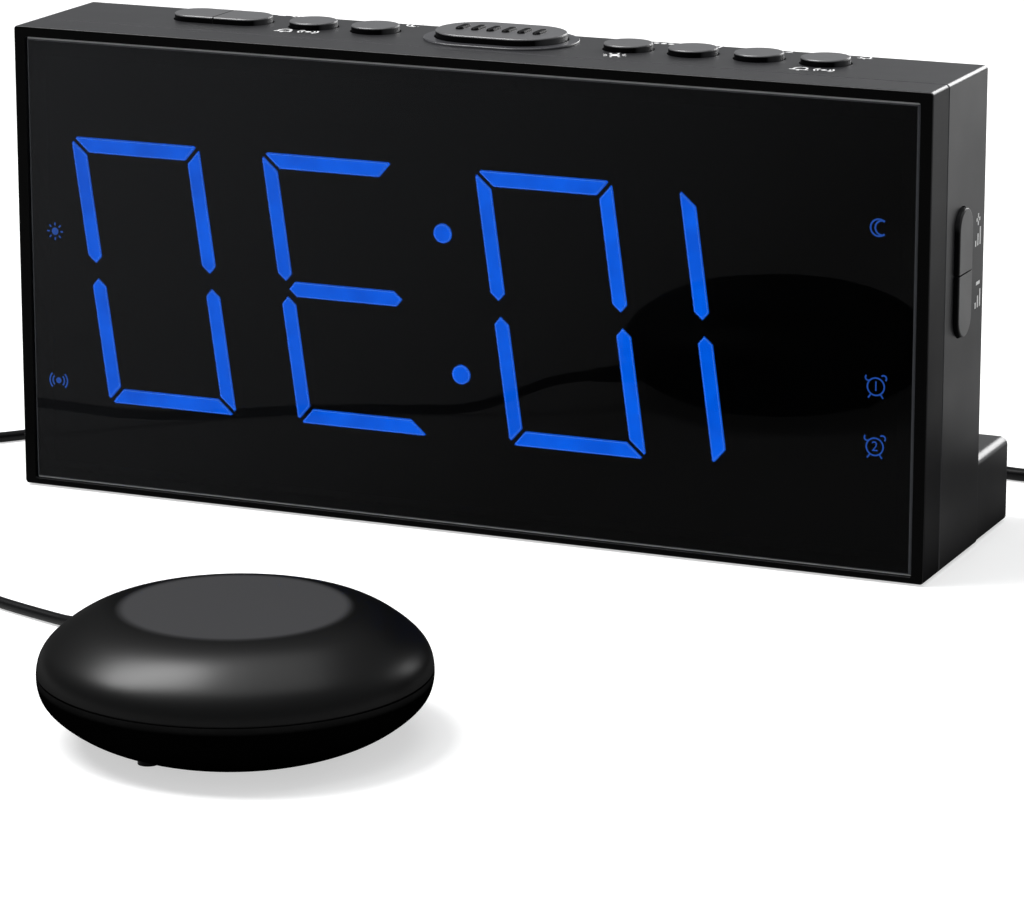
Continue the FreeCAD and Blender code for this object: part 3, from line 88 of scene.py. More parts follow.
def empty_material(name):
    """A new material and its node tree, with nothing in it."""
    made = bpy.data.materials.new(name)
    made.use_nodes = True
    made.node_tree.nodes.clear()
    return made, made.node_tree


def show(name, shape, *materials):
    """A new object from a bmesh, at the origin, with its materials in its slots."""
    mesh = bpy.data.meshes.new(name)
    shape.to_mesh(mesh)
    shape.free()
    for one in materials:
        mesh.materials.append(one)
    made = bpy.data.objects.new(name, mesh)
    bpy.context.scene.collection.objects.link(made)
    return made


paper, tree = empty_material("matt white backdrop paper")
path = add(tree, "LightPath")
seen = add(tree, "Math", {0: path.outputs["Is Camera Ray"], 1: path.outputs["Is Glossy Ray"]},
           operation="ADD")
seen = add(tree, "Math", {0: seen, 1: path.outputs["Is Transmission Ray"]}, operation="ADD", use_clamp=True)
sheet = add(tree, "BsdfDiffuse", {"Color": linear("#c8c8c8")})
# Past the lamps' reach the sheet is lifted more, so that it stays white to the horizon.
near, far_off, near_lift, far_lift = 0.7, 1.6, 0.55, 1.0
away = add(tree, "VectorMath", {0: add(tree, "TexCoord").outputs["Object"]}, operation="LENGTH")
lifted = add(tree, "MapRange", {"Value": away.outputs["Value"], "From Min": near, "From Max": far_off,
                                "To Min": near_lift, "To Max": far_lift})
lift = add(tree, "Emission", {"Color": linear("#ffffff"), "Strength": add(
    tree, "Math", {0: seen, 1: lifted.outputs[0]}, operation="MULTIPLY")})
add(tree, "OutputMaterial", {"Surface": add(tree, "AddShader", {0: sheet, 1: lift})})
sheet_half = 40.0
shape = bmesh.new()
bmesh.ops.create_grid(shape, x_segments=1, y_segments=1, size=sheet_half)
table_top = show("table_top", shape, paper)

room = bpy.data.worlds.new("pale studio")
room.use_nodes = True
bpy.context.scene.world = room
room.node_tree.nodes.clear()
add(room.node_tree, "OutputWorld", {"Surface": add(
    room.node_tree, "Background", {"Color": linear("#f4f6f8"), "Strength": 0.35})})


def softbox(name, place, target, wide, tall, power):
    """A flat soft lamp that faces its target, in metres and watts."""
    lamp = bpy.data.lights.new(name, "AREA")
    lamp.shape = "RECTANGLE"
    lamp.size, lamp.size_y, lamp.energy = wide, tall, power
    made = bpy.data.objects.new(name, lamp)
    turned = (Vector(target) - Vector(place)).to_track_quat("-Z", "Y")
    made.matrix_world = Matrix.LocRotScale(Vector(place), turned, None)
    made.visible_camera = False
    bpy.context.scene.collection.objects.link(made)


softbox("overhead softbox", (0.10, 0.05, 1.30), (0.0, -0.05, 0.0), 1.0, 1.0, 5.5)
softbox("left softbox", (-0.46, -0.24, 0.90), (0.02, -0.17, 0.02), 0.36, 0.66, 13.0)
softbox("rear softbox", (0.34, 1.20, 0.45), (0.05, 0.0, 0.06), 0.95, 0.4, 9.0)

# The power lead: a round, flexible mains-rated cord with a smooth black PVC sheath. It leaves the plug
# behind the clock, lies on the table and is wound into a coil, and its far end goes into the adapter.
vinyl, tree = empty_material("flexible PVC cord sheath")
place = add(tree, "TexCoord").outputs["Object"]
# The sheath is drawn through a die: satin, with a faint uneven sheen every few millimetres.
uneven = add(tree, "TexNoise", {"Vector": place, "Scale": 1000 / 4, "Detail": 3.0})
rough = add(tree, "MapRange", {"Value": uneven, "To Min": 0.34, "To Max": 0.50})
fine = add(tree, "TexNoise", {"Vector": place, "Scale": 1000 / 0.35, "Detail": 2.0})
bump = add(tree, "Bump", {"Height": fine, "Strength": 0.10, "Distance": 0.00008})
surface = add(tree, "BsdfPrincipled", {"Base Color": linear("#060607"), "Roughness": rough.outputs[0],
                                       "Specular IOR Level": 0.10, "Normal": bump})
add(tree, "OutputMaterial", {"Surface": surface})


# The middle of a coil's bundle of turns lies some cord radii from the coil's own middle. The turns lie side
# by side with a little play, and the lowest ones are clear of the table by the thickness of the tie.
bundle_reach, turn_play, coil_clearance = 11, 1.04, 0.00050


def wound(centre, radius, across, entry, sweep):
    """Points along a neat coil: each layer's turns run inwards, and the next one's outwards."""
    spacing = 2 * radius * turn_play
    per_turn, steady_share = 16, 0.75
    inside_corner = 1 / math.cos(math.pi / per_turn)
    points = []

    def place_of(turn):
        layer, step = divmod(turn, across)
        step = step if layer % 2 == 0 else across - 1 - step
        reach = bundle_reach * radius + ((across - 1) / 2 - step) * spacing
        return reach, radius + coil_clearance + layer * spacing

    # In the last quarter of each turn the cord moves over to the place of the next turn.
    for i in range(round(abs(sweep) / 360 * per_turn) + 1):
        turn, share = divmod(i, per_turn)
        shift = max(0.0, share / per_turn - steady_share) / (1 - steady_share)
        shift = shift * shift * (3 - 2 * shift)
        (reach, height), (next_reach, next_height) = place_of(turn), place_of(turn + 1)
        reach, height = reach + shift * (next_reach - reach), height + shift * (next_height - height)
        angle = math.radians(entry + math.copysign(i * 360 / per_turn, sweep))
        points.append((centre[0] + reach * inside_corner * math.cos(angle),
                       centre[1] + reach * inside_corner * math.sin(angle), height))
    return points


def lead(name, points, radius, material):
    """A cord as one smooth line through its points, as thick as its sheath."""
    line = bpy.data.curves.new(name, "CURVE")
    line.dimensions = "3D"
    line.bevel_depth, line.bevel_resolution, line.use_fill_caps = radius, 3, True
    run = line.splines.new("NURBS")
    run.points.add(len(points) - 1)
    for point, place in zip(run.points, points):
        point.co = (*place, 1.0)
    run.order_u = 3
    run.use_endpoint_u = True
    run.resolution_u = 5
    line.materials.append(material)
    made = bpy.data.objects.new(name, line)
    bpy.context.scene.collection.objects.link(made)
    return made


def mm(*points):
    """Points given in millimetres, in metres."""
    return [tuple(value / 1000 for value in point) for point in points]


power_radius, power_coil, power_across, power_layers = 0.0014, (0.131, 0.042), 4, 4
power_points = mm(
    (30.02, 54.65, 10.4), (30.02, 62.65, 10.4), (31.52, 72.5, 8.6), (38.0, 80.0, 4.6), (48.5, 82.3, 1.9),
    (60.5, 78.5, 1.45), (71.0, 70.0, 1.45), (79.8, 61.7, 1.45), (90.8, 57.7, 1.45), (101.0, 59.0, 1.45),
    (111.0, 61.77, 1.45), (119.0, 61.77, 1.5))
power_points += wound(power_coil, power_radius, power_across, 90, -(15 * 360 + 90))
power_points += mm(
    (150.77, 30.0, 10.6), (150.77, 22.0, 10.3), (152.0, 12.5, 7.2), (155.5, 2.5, 5.0), (158.0, -8.0, 8.0),
    (158.0, -16.0, 8.0))
power_lead = lead("power_lead", power_points, power_radius, vinyl)
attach(power_lead, "clock")
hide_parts("power_cord", "power_coil")

# The shaker's lead: a thinner, limper cord of the same kind. It runs behind the clock to the left, is
# wound into a coil there, and comes back round the front to the grommet in the shaker's side.
shaker_radius, shaker_coil, shaker_across, shaker_layers = 0.00115, (-0.128, -0.036), 5, 4
shaker_points = mm(
    (-7.98, 51.65, 9.3), (-7.98, 59.65, 9.3), (-9.78, 69.3, 7.2), (-16.5, 77.0, 4.0), (-27.5, 80.0, 1.6),
    (-41.0, 77.5, 1.2), (-57.0, 71.0, 1.2), (-74.0, 62.5, 1.2), (-90.5, 51.0, 1.2), (-103.0, 35.5, 1.2),
    (-110.5, 20.0, 1.2), (-117.2, 7.2, 1.2), (-125.3, -1.3, 1.2), (-131.26, -9.66, 1.2),
    (-135.74, -16.3, 1.2))
shaker_points += wound(shaker_coil, shaker_radius, shaker_across, 146, 19 * 360 + 84)
shaker_points += mm(
    (-130.02, -57.07, 8.6), (-123.89, -62.2, 8.3), (-114.5, -70.6, 5.9), (-103.0, -80.5, 2.6),
    (-90.5, -91.0, 1.2), (-76.0, -103.4, 1.2), (-60.1, -111.3, 1.2), (-48.0, -115.7, 1.2),
    (-38.2, -119.3, 1.4), (-29.2, -125.1, 4.4), (-21.33, -131.37, 7.6), (-15.21, -136.52, 7.6))
shaker_lead = lead("shaker_lead", shaker_points, shaker_radius, vinyl)
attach(shaker_lead, "clock")
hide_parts("shaker_cord", "shaker_coil")

# Ties that hold the two coils: a soft band round each bundle of turns, closed on itself.
# It is a woven hook-and-loop strip, 6 mm wide and about half a millimetre thick.
strip, tree = empty_material("woven hook-and-loop strip")
place = add(tree, "TexCoord").outputs["Object"]
# The loops stand up as a fine dark nap, drawn at 0.5 mm, which takes no gloss.
nap = add(tree, "TexVoronoi", {"Vector": place, "Scale": 1000 / 0.5})
shade = add(tree, "ValToRGB", {"Fac": nap.outputs["Distance"]})
shade.color_ramp.elements[0].color, shade.color_ramp.elements[1].color = linear("#2c2c2e"), linear("#0c0c0d")
bump = add(tree, "Bump", {"Height": nap.outputs["Distance"], "Strength": 0.5, "Distance": 0.0002})
add(tree, "OutputMaterial", {"Surface": add(tree, "BsdfPrincipled", {
    "Base Color": shade.outputs["Color"], "Roughness": 0.9, "Specular IOR Level": 0.2, "Normal": bump})})
strip_width, thick, side_play, top_play, table_play = 0.006, 0.0004, 0.0002, 0.0001, 0.00005
for name, centre, radius, angle, turns_across, layers in (
        ("power_coil_tie", power_coil, power_radius, 200, power_across, power_layers),
        ("shaker_coil_tie", shaker_coil, shaker_radius, 20, shaker_across, shaker_layers)):
    spacing = 2 * radius * turn_play
    wide, tall = turns_across * spacing + side_play, layers * spacing + top_play
    shape = bmesh.new()
    bmesh.ops.create_cube(shape, size=1.0, matrix=Matrix.Diagonal((wide, strip_width, tall, 1.0)))
    ends = [face for face in shape.faces if abs(face.normal.y) > 0.9]
    bmesh.ops.delete(shape, geom=ends, context="FACES")
    long_edges = [edge for edge in shape.edges if not edge.is_boundary]
    bmesh.ops.bevel(shape, geom=long_edges, offset=radius, segments=4, profile=0.5, affect="EDGES",
                    material=-1)
    bmesh.ops.solidify(shape, geom=shape.faces, thickness=-thick)
    middle = Matrix.Translation((bundle_reach * radius, 0.0, tall / 2 + thick + table_play))
    turn = Matrix.Rotation(math.radians(angle), 4, "Z")
    bmesh.ops.transform(shape, matrix=Matrix.Translation((*centre, 0.0)) @ turn @ middle, verts=shape.verts)
    bmesh.ops.recalc_face_normals(shape, faces=shape.faces)
    tie = show(name, shape, strip)
    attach(tie, "clock")


# The casing: front bezel, rear housing with its foot block, and battery door. They are injection moulded in
# black ABS. The bezel is polished in the mould, and the housing and door have a fine spark-eroded grain.
def moulded_skin(tree, colour, roughness, specular, grain, depth, seed=0.0):
    """The shader of moulded plastic: grain and depth are in millimetres, and its sheen drifts slowly."""
    drift_size, sheen_drift = 22, 0.04
    place = add(tree, "TexCoord").outputs["Object"]
    drift = add(tree, "TexNoise", {"Vector": place, "Scale": 1000 / drift_size, "Detail": 3.0, "W": seed},
                noise_dimensions="4D")
    rough = add(tree, "MapRange", {"Value": drift, "From Min": 0.3, "From Max": 0.7,
                                   "To Min": roughness - sheen_drift, "To Max": roughness + sheen_drift})
    pits = add(tree, "TexNoise", {"Vector": place, "Scale": 1000 / grain, "Detail": 2.0, "Roughness": 0.6})
    bump = add(tree, "Bump", {"Height": pits, "Strength": 0.35, "Distance": depth / 1000})
    tint = add(tree, "MixRGB", {"Fac": drift, "Color1": linear(colour), "Color2": [
        min(1.0, c * 1.25) for c in linear(colour)[:3]] + [1.0]})
    return add(tree, "BsdfPrincipled", {"Base Color": tint, "Roughness": rough.outputs[0],
                                        "Specular IOR Level": specular, "Normal": bump})


def moulded(name, *finish):
    """A whole material of moulded plastic."""
    made, tree = empty_material(name)
    add(tree, "OutputMaterial", {"Surface": moulded_skin(tree, *finish)})
    return made


def facing(tree, axis, start, full):
    """How much a face looks along an axis of the piece, from 0 at one slope to 1 at the other."""
    sides = add(tree, "SeparateXYZ", {"Vector": add(tree, "TexCoord").outputs["Normal"]})
    slope = {"Value": sides.outputs[axis], "From Min": start, "From Max": full}
    return add(tree, "MapRange", slope).outputs[0]


def dress(material, *names):
    """Gives a material to the CAD nodes of those names."""
    for name in names:
        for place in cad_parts[name].material_slots:
            place.material = material


# The upright end walls are painted darker towards the bottom edge, as painted shade: their satin finish is
# mixed with a near-black matt one, so they go from satin at the top to nearly black at the table.
def painted_wall_shade(tree):
    """How much painted shade an end wall takes, by its height over the table."""
    height = add(tree, "SeparateXYZ", {"Vector": add(tree, "TexCoord").outputs["Object"]}).outputs["Z"]
    wall_shade_height = 0.100
    share = add(tree, "Math", {0: height, 1: 1 / wall_shade_height}, operation="MULTIPLY")
    ramp = add(tree, "ValToRGB", {"Fac": share})
    ramp.color_ramp.elements[0].color, ramp.color_ramp.elements[1].color = [0.95] * 3 + [1], [0.30] * 3 + [1]
    for height_share, wall_shade in ((0.12, 0.72), (0.24, 0.53), (0.44, 0.62)):
        ramp.color_ramp.elements.new(height_share).color = [wall_shade] * 3 + [1]
    return add(tree, "Math", {0: facing(tree, "X", 0.6, 0.9), 1: ramp.outputs["Color"]},
               operation="MULTIPLY")


# The joint line between bezel and housing is a shallow step. On faces that look up, both its edges are
# painted matt and a
# lighter grey in place of their glint: painted light. The top edge at the ends has a lighter, glossier finish
# painted on: a painted highlight.
joint_place, joint_half = -0.01785, 0.0004


def casing_skin(tree, satin, wall_shade):
    """The shader of the casing's outside, from the finish of its satin faces and the painted shade of its end
    walls.
    """
    place = add(tree, "SeparateXYZ", {"Vector": add(tree, "TexCoord").outputs["Object"]}).outputs["Y"]
    joint = add(tree, "Math", {0: place, 1: joint_place, 2: joint_half}, operation="COMPARE")
    top_joint = add(tree, "Math", {0: joint, 1: facing(tree, "Z", -0.2, 0.2)}, operation="MULTIPLY")
    walls = add(tree, "MixShader", {0: painted_wall_shade(tree), 1: moulded_skin(tree, *satin),
                                    2: moulded_skin(tree, *wall_shade)})
    # Where a face turns from the top to an end wall, a lighter, glossier finish is painted: a painted
    # highlight.
    highlight_edge = add(tree, "Math", {0: facing(tree, "Z", 0.15, 0.5), 1: facing(tree, "X", 0.15, 0.5)},
                  operation="MULTIPLY")
    highlight_skin = moulded_skin(tree, "#2c2c2e", 0.30, 0.55, 0.9, 0.002)
    edged = add(tree, "MixShader", {0: highlight_edge, 1: walls, 2: highlight_skin})
    # Over the joint on faces that look up, a matt, lighter finish is painted in place of its glint: painted
    # light.
    matt = moulded_skin(tree, "#38383a", 0.8, 0.2, 0.28, 0.002)
    return add(tree, "MixShader", {0: top_joint, 1: edged, 2: matt})


# The near-black matt finish that is painted on the end walls as shade.
wall_shade_finish = ("#060607", 0.60, 0.0, 0.28, 0.006)
grained, tree = empty_material("spark-eroded black ABS")
add(tree, "OutputMaterial", {"Surface": casing_skin(
    tree, ("#1b1b1d", 0.40, 0.46, 0.28, 0.012), wall_shade_finish)})
dress(grained, "rear_housing", "battery_door")
polished, tree = empty_material("black ABS, smooth and painted near black in front")
# Faces that look forward are smooth, and painted near black with almost no reflection: painted shade.
rim = moulded_skin(tree, "#020202", 0.32, 0.02, 0.9, 0.002)
sides = casing_skin(tree, ("#1b1b1d", 0.42, 0.46, 0.28, 0.012), wall_shade_finish)
# The bezel's end walls are darker still: half of their shader is a near-black matt finish.
dim = moulded_skin(tree, "#040405", 0.60, 0.0, 0.28, 0.006)
side_dim = add(tree, "Math", {0: facing(tree, "X", 0.6, 0.9), 1: 0.50}, operation="MULTIPLY")
sides = add(tree, "MixShader", {0: side_dim, 1: sides, 2: dim})
front = facing(tree, "Y", -0.55, -0.85)
add(tree, "OutputMaterial", {"Surface": add(tree, "MixShader", {0: front, 1: sides, 2: rim})})
dress(polished, "front_bezel")

# Rubber feet and the puck's base pad: die-cut soft rubber. It is dull, with a fine open skin.
rubber = moulded("die-cut soft rubber", "#161616", 0.85, 0.25, 0.35, 0.02, 3.0)
dress(rubber, "rubber_feet", "shaker_pad", "cord_grommet")


# Screws, contacts and shaft: turned or stamped steel with a bright zinc or nickel plate. The plate is
# a little cloudy, so its gloss is broken up over a millimetre or two.
def plated(name, colour, roughness):
    """A material of plated or bare metal."""
    made, tree = empty_material(name)
    place = add(tree, "TexCoord").outputs["Object"]
    cloud = add(tree, "TexNoise", {"Vector": place, "Scale": 1000 / 1.5, "Detail": 4.0})
    rough = add(tree, "MapRange", {"Value": cloud, "To Min": roughness - 0.08, "To Max": roughness + 0.10})
    add(tree, "OutputMaterial", {"Surface": add(tree, "BsdfPrincipled", {
        "Base Color": linear(colour), "Metallic": 1.0, "Roughness": rough.outputs[0]})})
    return made


zinc = plated("zinc-plated steel", "#b9bcc0", 0.32)
dress(zinc, "case_screws", "board_screws", "motor_shaft", "battery_contacts")
dress(plated("black-oxide steel", "#0c0c0d", 0.55), "shaker_screws")
dress(plated("nickel-plated steel can", "#a7a9ab", 0.28), "shaker_motor", "motor_clamp")
dress(plated("turned steel", "#8f9193", 0.38), "eccentric_weight")
dress(plated("nickel-plated brass", "#cfc7b0", 0.22), "adapter_blades")

# The display lens: a 2 mm plate of smoked acrylic, polished on both faces. It lets the lit segments
# through and hides the rest, and its ground edge all round shows as a thin pale line, with a painted
# highlight on its upper and lower runs.
lens, tree = empty_material("smoked acrylic with a ground edge")
place = add(tree, "TexCoord")
smoked = add(tree, "BsdfPrincipled", {
    "Base Color": linear("#1a1a1b"), "Roughness": 0.015, "IOR": 1.49, "Transmission Weight": 1.0,
    "Specular Tint": linear("#3a3a3a")})
# A pale matt veil is painted on it as a painted reflection, strongest at the top left and nearly gone past
# the middle.
glare_way, glare_corner, glare_end, most_glare, least_glare = (1.0, 0.0, -1.2), -0.198, 0.0, 0.094, 0.005
along = add(tree, "VectorMath", {0: place.outputs["Object"], 1: glare_way}, operation="DOT_PRODUCT")
glare_share = add(tree, "MapRange", {"Value": along.outputs["Value"], "From Min": glare_corner, "From Max": glare_end,
                              "To Min": most_glare, "To Max": least_glare})
painted_glare = add(tree, "BsdfPrincipled", {"Base Color": linear("#5a5c60"), "Roughness": 0.9,
                                    "Specular IOR Level": 0.0})
plate = add(tree, "MixShader", {0: glare_share.outputs[0], 1: smoked, 2: painted_glare})
# The front edge is ground to 45 degrees and is pale. The outer rim of its upper and lower runs is painted
# near white: a painted highlight.
painted_crest_width, edge_slope, slope_play = 0.00035, -0.7071, 0.12
smear = add(tree, "TexNoise", {"Vector": place.outputs["Object"], "Scale": 1000 / 1.2, "Detail": 4.0})
slopes = add(tree, "SeparateXYZ", {"Vector": place.outputs["Normal"]})
upright = add(tree, "Math", {0: add(tree, "Math", {0: slopes.outputs["Z"]}, operation="ABSOLUTE"), 1: 0.5},
              operation="GREATER_THAN")
lens_low, lens_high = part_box("display_lens")
height = add(tree, "SeparateXYZ", {"Vector": place.outputs["Object"]}).outputs["Z"]
inside = add(tree, "Math", {0: height, 1: (lens_low[2] + lens_high[2]) / 2,
                            2: (lens_high[2] - lens_low[2]) / 2 - painted_crest_width}, operation="COMPARE")
painted_crest = add(tree, "Math", {0: upright, 1: inside}, operation="SUBTRACT", use_clamp=True)
edge_tone = add(tree, "MixRGB", {"Fac": painted_crest, "Color1": linear("#55575b"), "Color2": linear("#dedede")})
cloudy = add(tree, "MapRange", {"Value": smear, "To Min": 0.25, "To Max": 0.45})
ground = add(tree, "BsdfPrincipled", {"Base Color": edge_tone, "Roughness": cloudy.outputs[0]})
slope = add(tree, "Math", {0: slopes.outputs["Y"], 1: edge_slope, 2: slope_play}, operation="COMPARE")
add(tree, "OutputMaterial", {"Surface": add(tree, "MixShader", {0: slope, 1: plate, 2: ground})})
dress(lens, "display_lens")

# Behind the lens: a matt black printed mask whose windows hold the segments. The lit ones glow blue from
# the lamps behind them, a little unevenly and strongly enough to come through, and the others stay dark.
dress(moulded("matt black printed film", "#000000", 0.75, 0.0, 0.6, 0.004), "display_mask")
dress(moulded("dark diffuser resin", "#000000", 0.75, 0.0, 0.6, 0.004), "unlit_segments", "indicator_windows")
# The reflector is painted black: painted shade in the gaps between the segments.
dress(moulded("styrene painted black as shade", "#000000", 0.75, 0.0, 0.5, 0.006), "reflector")
glow, tree = empty_material("blue-lit diffuser resin")
place = add(tree, "TexCoord").outputs["Object"]
cloud = add(tree, "TexNoise", {"Vector": place, "Scale": 1000 / 7, "Detail": 2.0})
shade = add(tree, "ValToRGB", {"Fac": cloud})
shade.color_ramp.elements[0].position, shade.color_ramp.elements[1].position = 0.35, 0.65
shade.color_ramp.elements[0].color, shade.color_ramp.elements[1].color = linear("#004cc0"), linear("#0056d2")
add(tree, "OutputMaterial", {"Surface": add(tree, "BsdfPrincipled", {
    "Base Color": linear("#10305a"), "Roughness": 0.6, "Emission Color": shade.outputs["Color"],
    "Emission Strength": 117.0})})
glow.cycles.emission_sampling = "NONE"
dress(glow, "lit_segments", "colon_dots")

# Painted stray light: each lit segment is a little paler along its edge, and a dim navy fringe shows past it
# on the mask. It is a thin glowing border laid on the mask round every segment, fading out on both sides.
fringe, tree = empty_material("stray blue light")
fade = add(tree, "Attribute", attribute_name="reach")
shade = add(tree, "ValToRGB", {"Fac": fade.outputs["Fac"]})
ramp = shade.color_ramp
ramp.elements[0].color, ramp.elements[1].color = linear("#00102e", 0.0), linear("#0a5ad8", 0.0)
for position, tone in ((0.25, linear("#002a80", 0.85)), (0.47, linear("#0038a0", 1.0)),
                       (0.53, linear("#5c92e0", 0.9)), (0.75, linear("#2a6cd0", 0.5))):
    ramp.elements.new(position).color = tone
add(tree, "OutputMaterial", {"Surface": add(tree, "MixShader", {
    0: shade.outputs["Alpha"], 1: add(tree, "BsdfTransparent"), 2: add(tree, "Emission", {
        "Color": shade.outputs["Color"], "Strength": 122.0})})})
fringe.cycles.emission_sampling = "NONE"
fringe_width, fringe_lift = 0.00036, 0.00002
shape = bmesh.new()
for name in ("lit_segments", "colon_dots"):
    shape.from_mesh(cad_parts[name].data)
bmesh.ops.remove_doubles(shape, verts=shape.verts, dist=1e-6)
bmesh.ops.dissolve_limit(shape, angle_limit=0.01, verts=shape.verts, edges=shape.edges)
bmesh.ops.delete(shape, geom=[face for face in shape.faces if face.normal.y > -0.99], context="FACES")
reach = shape.verts.layers.float.new("reach")
for vertex in shape.verts:
    vertex[reach] = 0.5
border = bmesh.ops.inset_individual(shape, faces=list(shape.faces), thickness=fringe_width,
                                    use_even_offset=True)
cores = [face for face in shape.faces if face not in border["faces"]]
for vertex in {vertex for face in cores for vertex in face.verts}:
    vertex[reach] = 1.0
bmesh.ops.inset_region(shape, faces=shape.faces, thickness=fringe_width, use_boundary=True,
                       use_even_offset=True, use_outset=True)
for vertex in shape.verts:
    if vertex.is_boundary:
        vertex[reach] = 0.0
bmesh.ops.delete(shape, geom=cores, context="FACES")
bmesh.ops.translate(shape, verts=shape.verts, vec=(0.0, -fringe_lift, 0.0))
stray = show("stray_light", shape, fringe)
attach(stray, "clock")


# Signs in the small windows of the display: a sun, a sounding bell, a moon and two numbered clock faces.
# They are printed on the back of the lens in a dim translucent blue, each about 4 mm across.
def arc(shape, centre, radius, start, sweep, width):
    """A flat curved stroke, made by spinning a short line that is as long as the stroke is wide."""
    least_steps, degrees_per_step = 6, 15
    start = math.radians(start)
    ends = [shape.verts.new((reach * math.cos(start), reach * math.sin(start), 0.0))
            for reach in (radius - width / 2, radius + width / 2)]
    edge = shape.edges.new(ends)
    bmesh.ops.spin(shape, geom=[*ends, edge], cent=(0, 0, 0), axis=(0, 0, 1), angle=math.radians(sweep),
                   steps=max(least_steps, int(abs(sweep) / degrees_per_step)), use_merge=abs(sweep) >= 360)
    bmesh.ops.translate(shape, vec=(*centre, 0.0), verts=list({
        vertex for face in shape.faces for vertex in face.verts if not vertex.tag}))
    settle(shape)


def settle(shape):
    """Marks what has been drawn so far, so that the next stroke can be moved by itself."""
    for vertex in shape.verts:
        vertex.tag = True


def bar(shape, centre, long, wide, turn=0.0):
    """A flat straight stroke."""
    place = (Matrix.Translation((*centre, 0.0)) @ Matrix.Rotation(math.radians(turn), 4, "Z")
             @ Matrix.Diagonal((long, wide, 1.0, 1.0)))
    bmesh.ops.create_grid(shape, x_segments=1, y_segments=1, size=0.5, matrix=place)
    settle(shape)


def disc(shape, centre, radius):
    """A flat round dot."""
    bmesh.ops.create_circle(shape, cap_ends=True, segments=24, radius=radius,
                            matrix=Matrix.Translation((*centre, 0.0)))
    settle(shape)


def figure(shape, letters, size, centre):
    """A plain numeral from the standard typeface, turned into a mesh."""
    curve = bpy.data.curves.new("numeral", "FONT")
    curve.body, curve.size, curve.align_x, curve.align_y = letters, size, "CENTER", "CENTER"
    holder = bpy.data.objects.new("numeral", curve)
    flat = bpy.data.meshes.new_from_object(holder)
    flat.transform(Matrix.Translation((*centre, 0.0)))
    shape.from_mesh(flat)
    bpy.data.objects.remove(holder)
    bpy.data.meshes.remove(flat)
    settle(shape)


def sun(shape, size):
    """A disc with eight short rays."""
    disc(shape, (0, 0), 0.22 * size)
    for turn in range(0, 360, 45):
        angle = math.radians(turn)
        bar(shape, (0.43 * size * math.cos(angle), 0.43 * size * math.sin(angle)), 0.18 * size,
            0.09 * size, turn)


def waves(shape, size):
    """A dot with two arcs on each side, for the shaker."""
    disc(shape, (0, 0), 0.16 * size)
    for start in (-45, 135):
        for radius in (0.34, 0.52):
            arc(shape, (0, 0), radius * size, start, 90, 0.09 * size)


def clock_face(shape, size, letters):
    """A small alarm clock: round case, two bells, two feet and its number."""
    arc(shape, (0, 0), 0.38 * size, 0, 360, 0.07 * size)
    for side in (-1, 1):
        arc(shape, (side * 0.34 * size, 0.38 * size), 0.13 * size, 45 - side * 90, 180, 0.07 * size)
        bar(shape, (side * 0.28 * size, -0.42 * size), 0.2 * size, 0.07 * size, 90 + side * 35)
    figure(shape, letters, 0.62 * size, (0, 0))


def moon(shape, size):
    """A crescent from two arcs."""
    for radius, shift, sweep in ((0.42, 0.0, 270), (0.36, 0.18, 220)):
        arc(shape, (shift * size, 0), radius * size, 180 - sweep / 2, sweep, 0.09 * size)


def bell(shape, size):
    """A bell on its rim, with a clapper below."""
    arc(shape, (0, 0), 0.28 * size, 0, 180, 0.1 * size)
    for side in (-1, 1):
        bar(shape, (side * 0.28 * size, -0.12 * size), 0.1 * size, 0.26 * size)
    bar(shape, (0, -0.28 * size), 0.86 * size, 0.1 * size)
    disc(shape, (0, -0.42 * size), 0.08 * size)


ink, tree = empty_material("translucent blue ink, lit from behind")
place = add(tree, "TexCoord").outputs["Object"]
spread = add(tree, "TexNoise", {"Vector": place, "Scale": 1000 / 1.2, "Detail": 3.0})
shade = add(tree, "ValToRGB", {"Fac": spread})
shade.color_ramp.elements[0].color, shade.color_ramp.elements[1].color = linear("#1c4490"), linear("#2c5cb8")
add(tree, "OutputMaterial", {"Surface": add(tree, "Emission", {
    "Color": shade.outputs["Color"], "Strength": 7.7})})


def stamp(shape, sign, place):
    """Draws a sign by itself, brings it to its place and adds it to the shape."""
    one = bmesh.new()
    sign(one)
    one.transform(place)
    flat = bpy.data.meshes.new("sign")
    one.to_mesh(flat)
    one.free()
    shape.from_mesh(flat)
    bpy.data.meshes.remove(flat)


def islands(name):
    """The boxes of a node's separate solids, as pairs of corners, from left to right and then downwards."""
    shape = bmesh.new()
    shape.from_mesh(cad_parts[name].data)
    bmesh.ops.remove_doubles(shape, verts=shape.verts, dist=1e-6)
    left, boxes = set(shape.verts), []
    while left:
        group, front = set(), [left.pop()]
        while front:
            vertex = front.pop()
            group.add(vertex)
            near = {edge.other_vert(vertex) for edge in vertex.link_edges} & left
            left -= near
            front += near
        spans = [(min(v.co[i] for v in group), max(v.co[i] for v in group)) for i in range(3)]
        boxes.append((Vector([low for low, high in spans]), Vector([high for low, high in spans])))
    shape.free()
    return sorted(boxes, key=lambda box: (round(box[0].x, 2), -box[0].z))


# The ink stands off the face it is printed on by its own thickness. Each sign sits a little to the right in
# its window.
print_lift, sign_shift = 0.00003, 0.0003
to_front = Matrix(((1, 0, 0, 0), (0, 0, -1, 0), (0, 1, 0, 0), (0, 0, 0, 1)))
window_signs = (lambda s: sun(s, 0.0036), lambda s: waves(s, 0.0040), lambda s: moon(s, 0.0040),
                lambda s: clock_face(s, 0.0046, "1"), lambda s: clock_face(s, 0.0046, "2"))
shape = bmesh.new()
for (low, high), sign in zip(islands("indicator_windows"), window_signs):
    middle = (low + high) / 2
    place = Matrix.Translation((middle.x + sign_shift, lens_high[1] - print_lift, middle.z))
    stamp(shape, sign, place @ to_front)
signs = show("display_signs", shape, ink)
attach(signs, "clock")

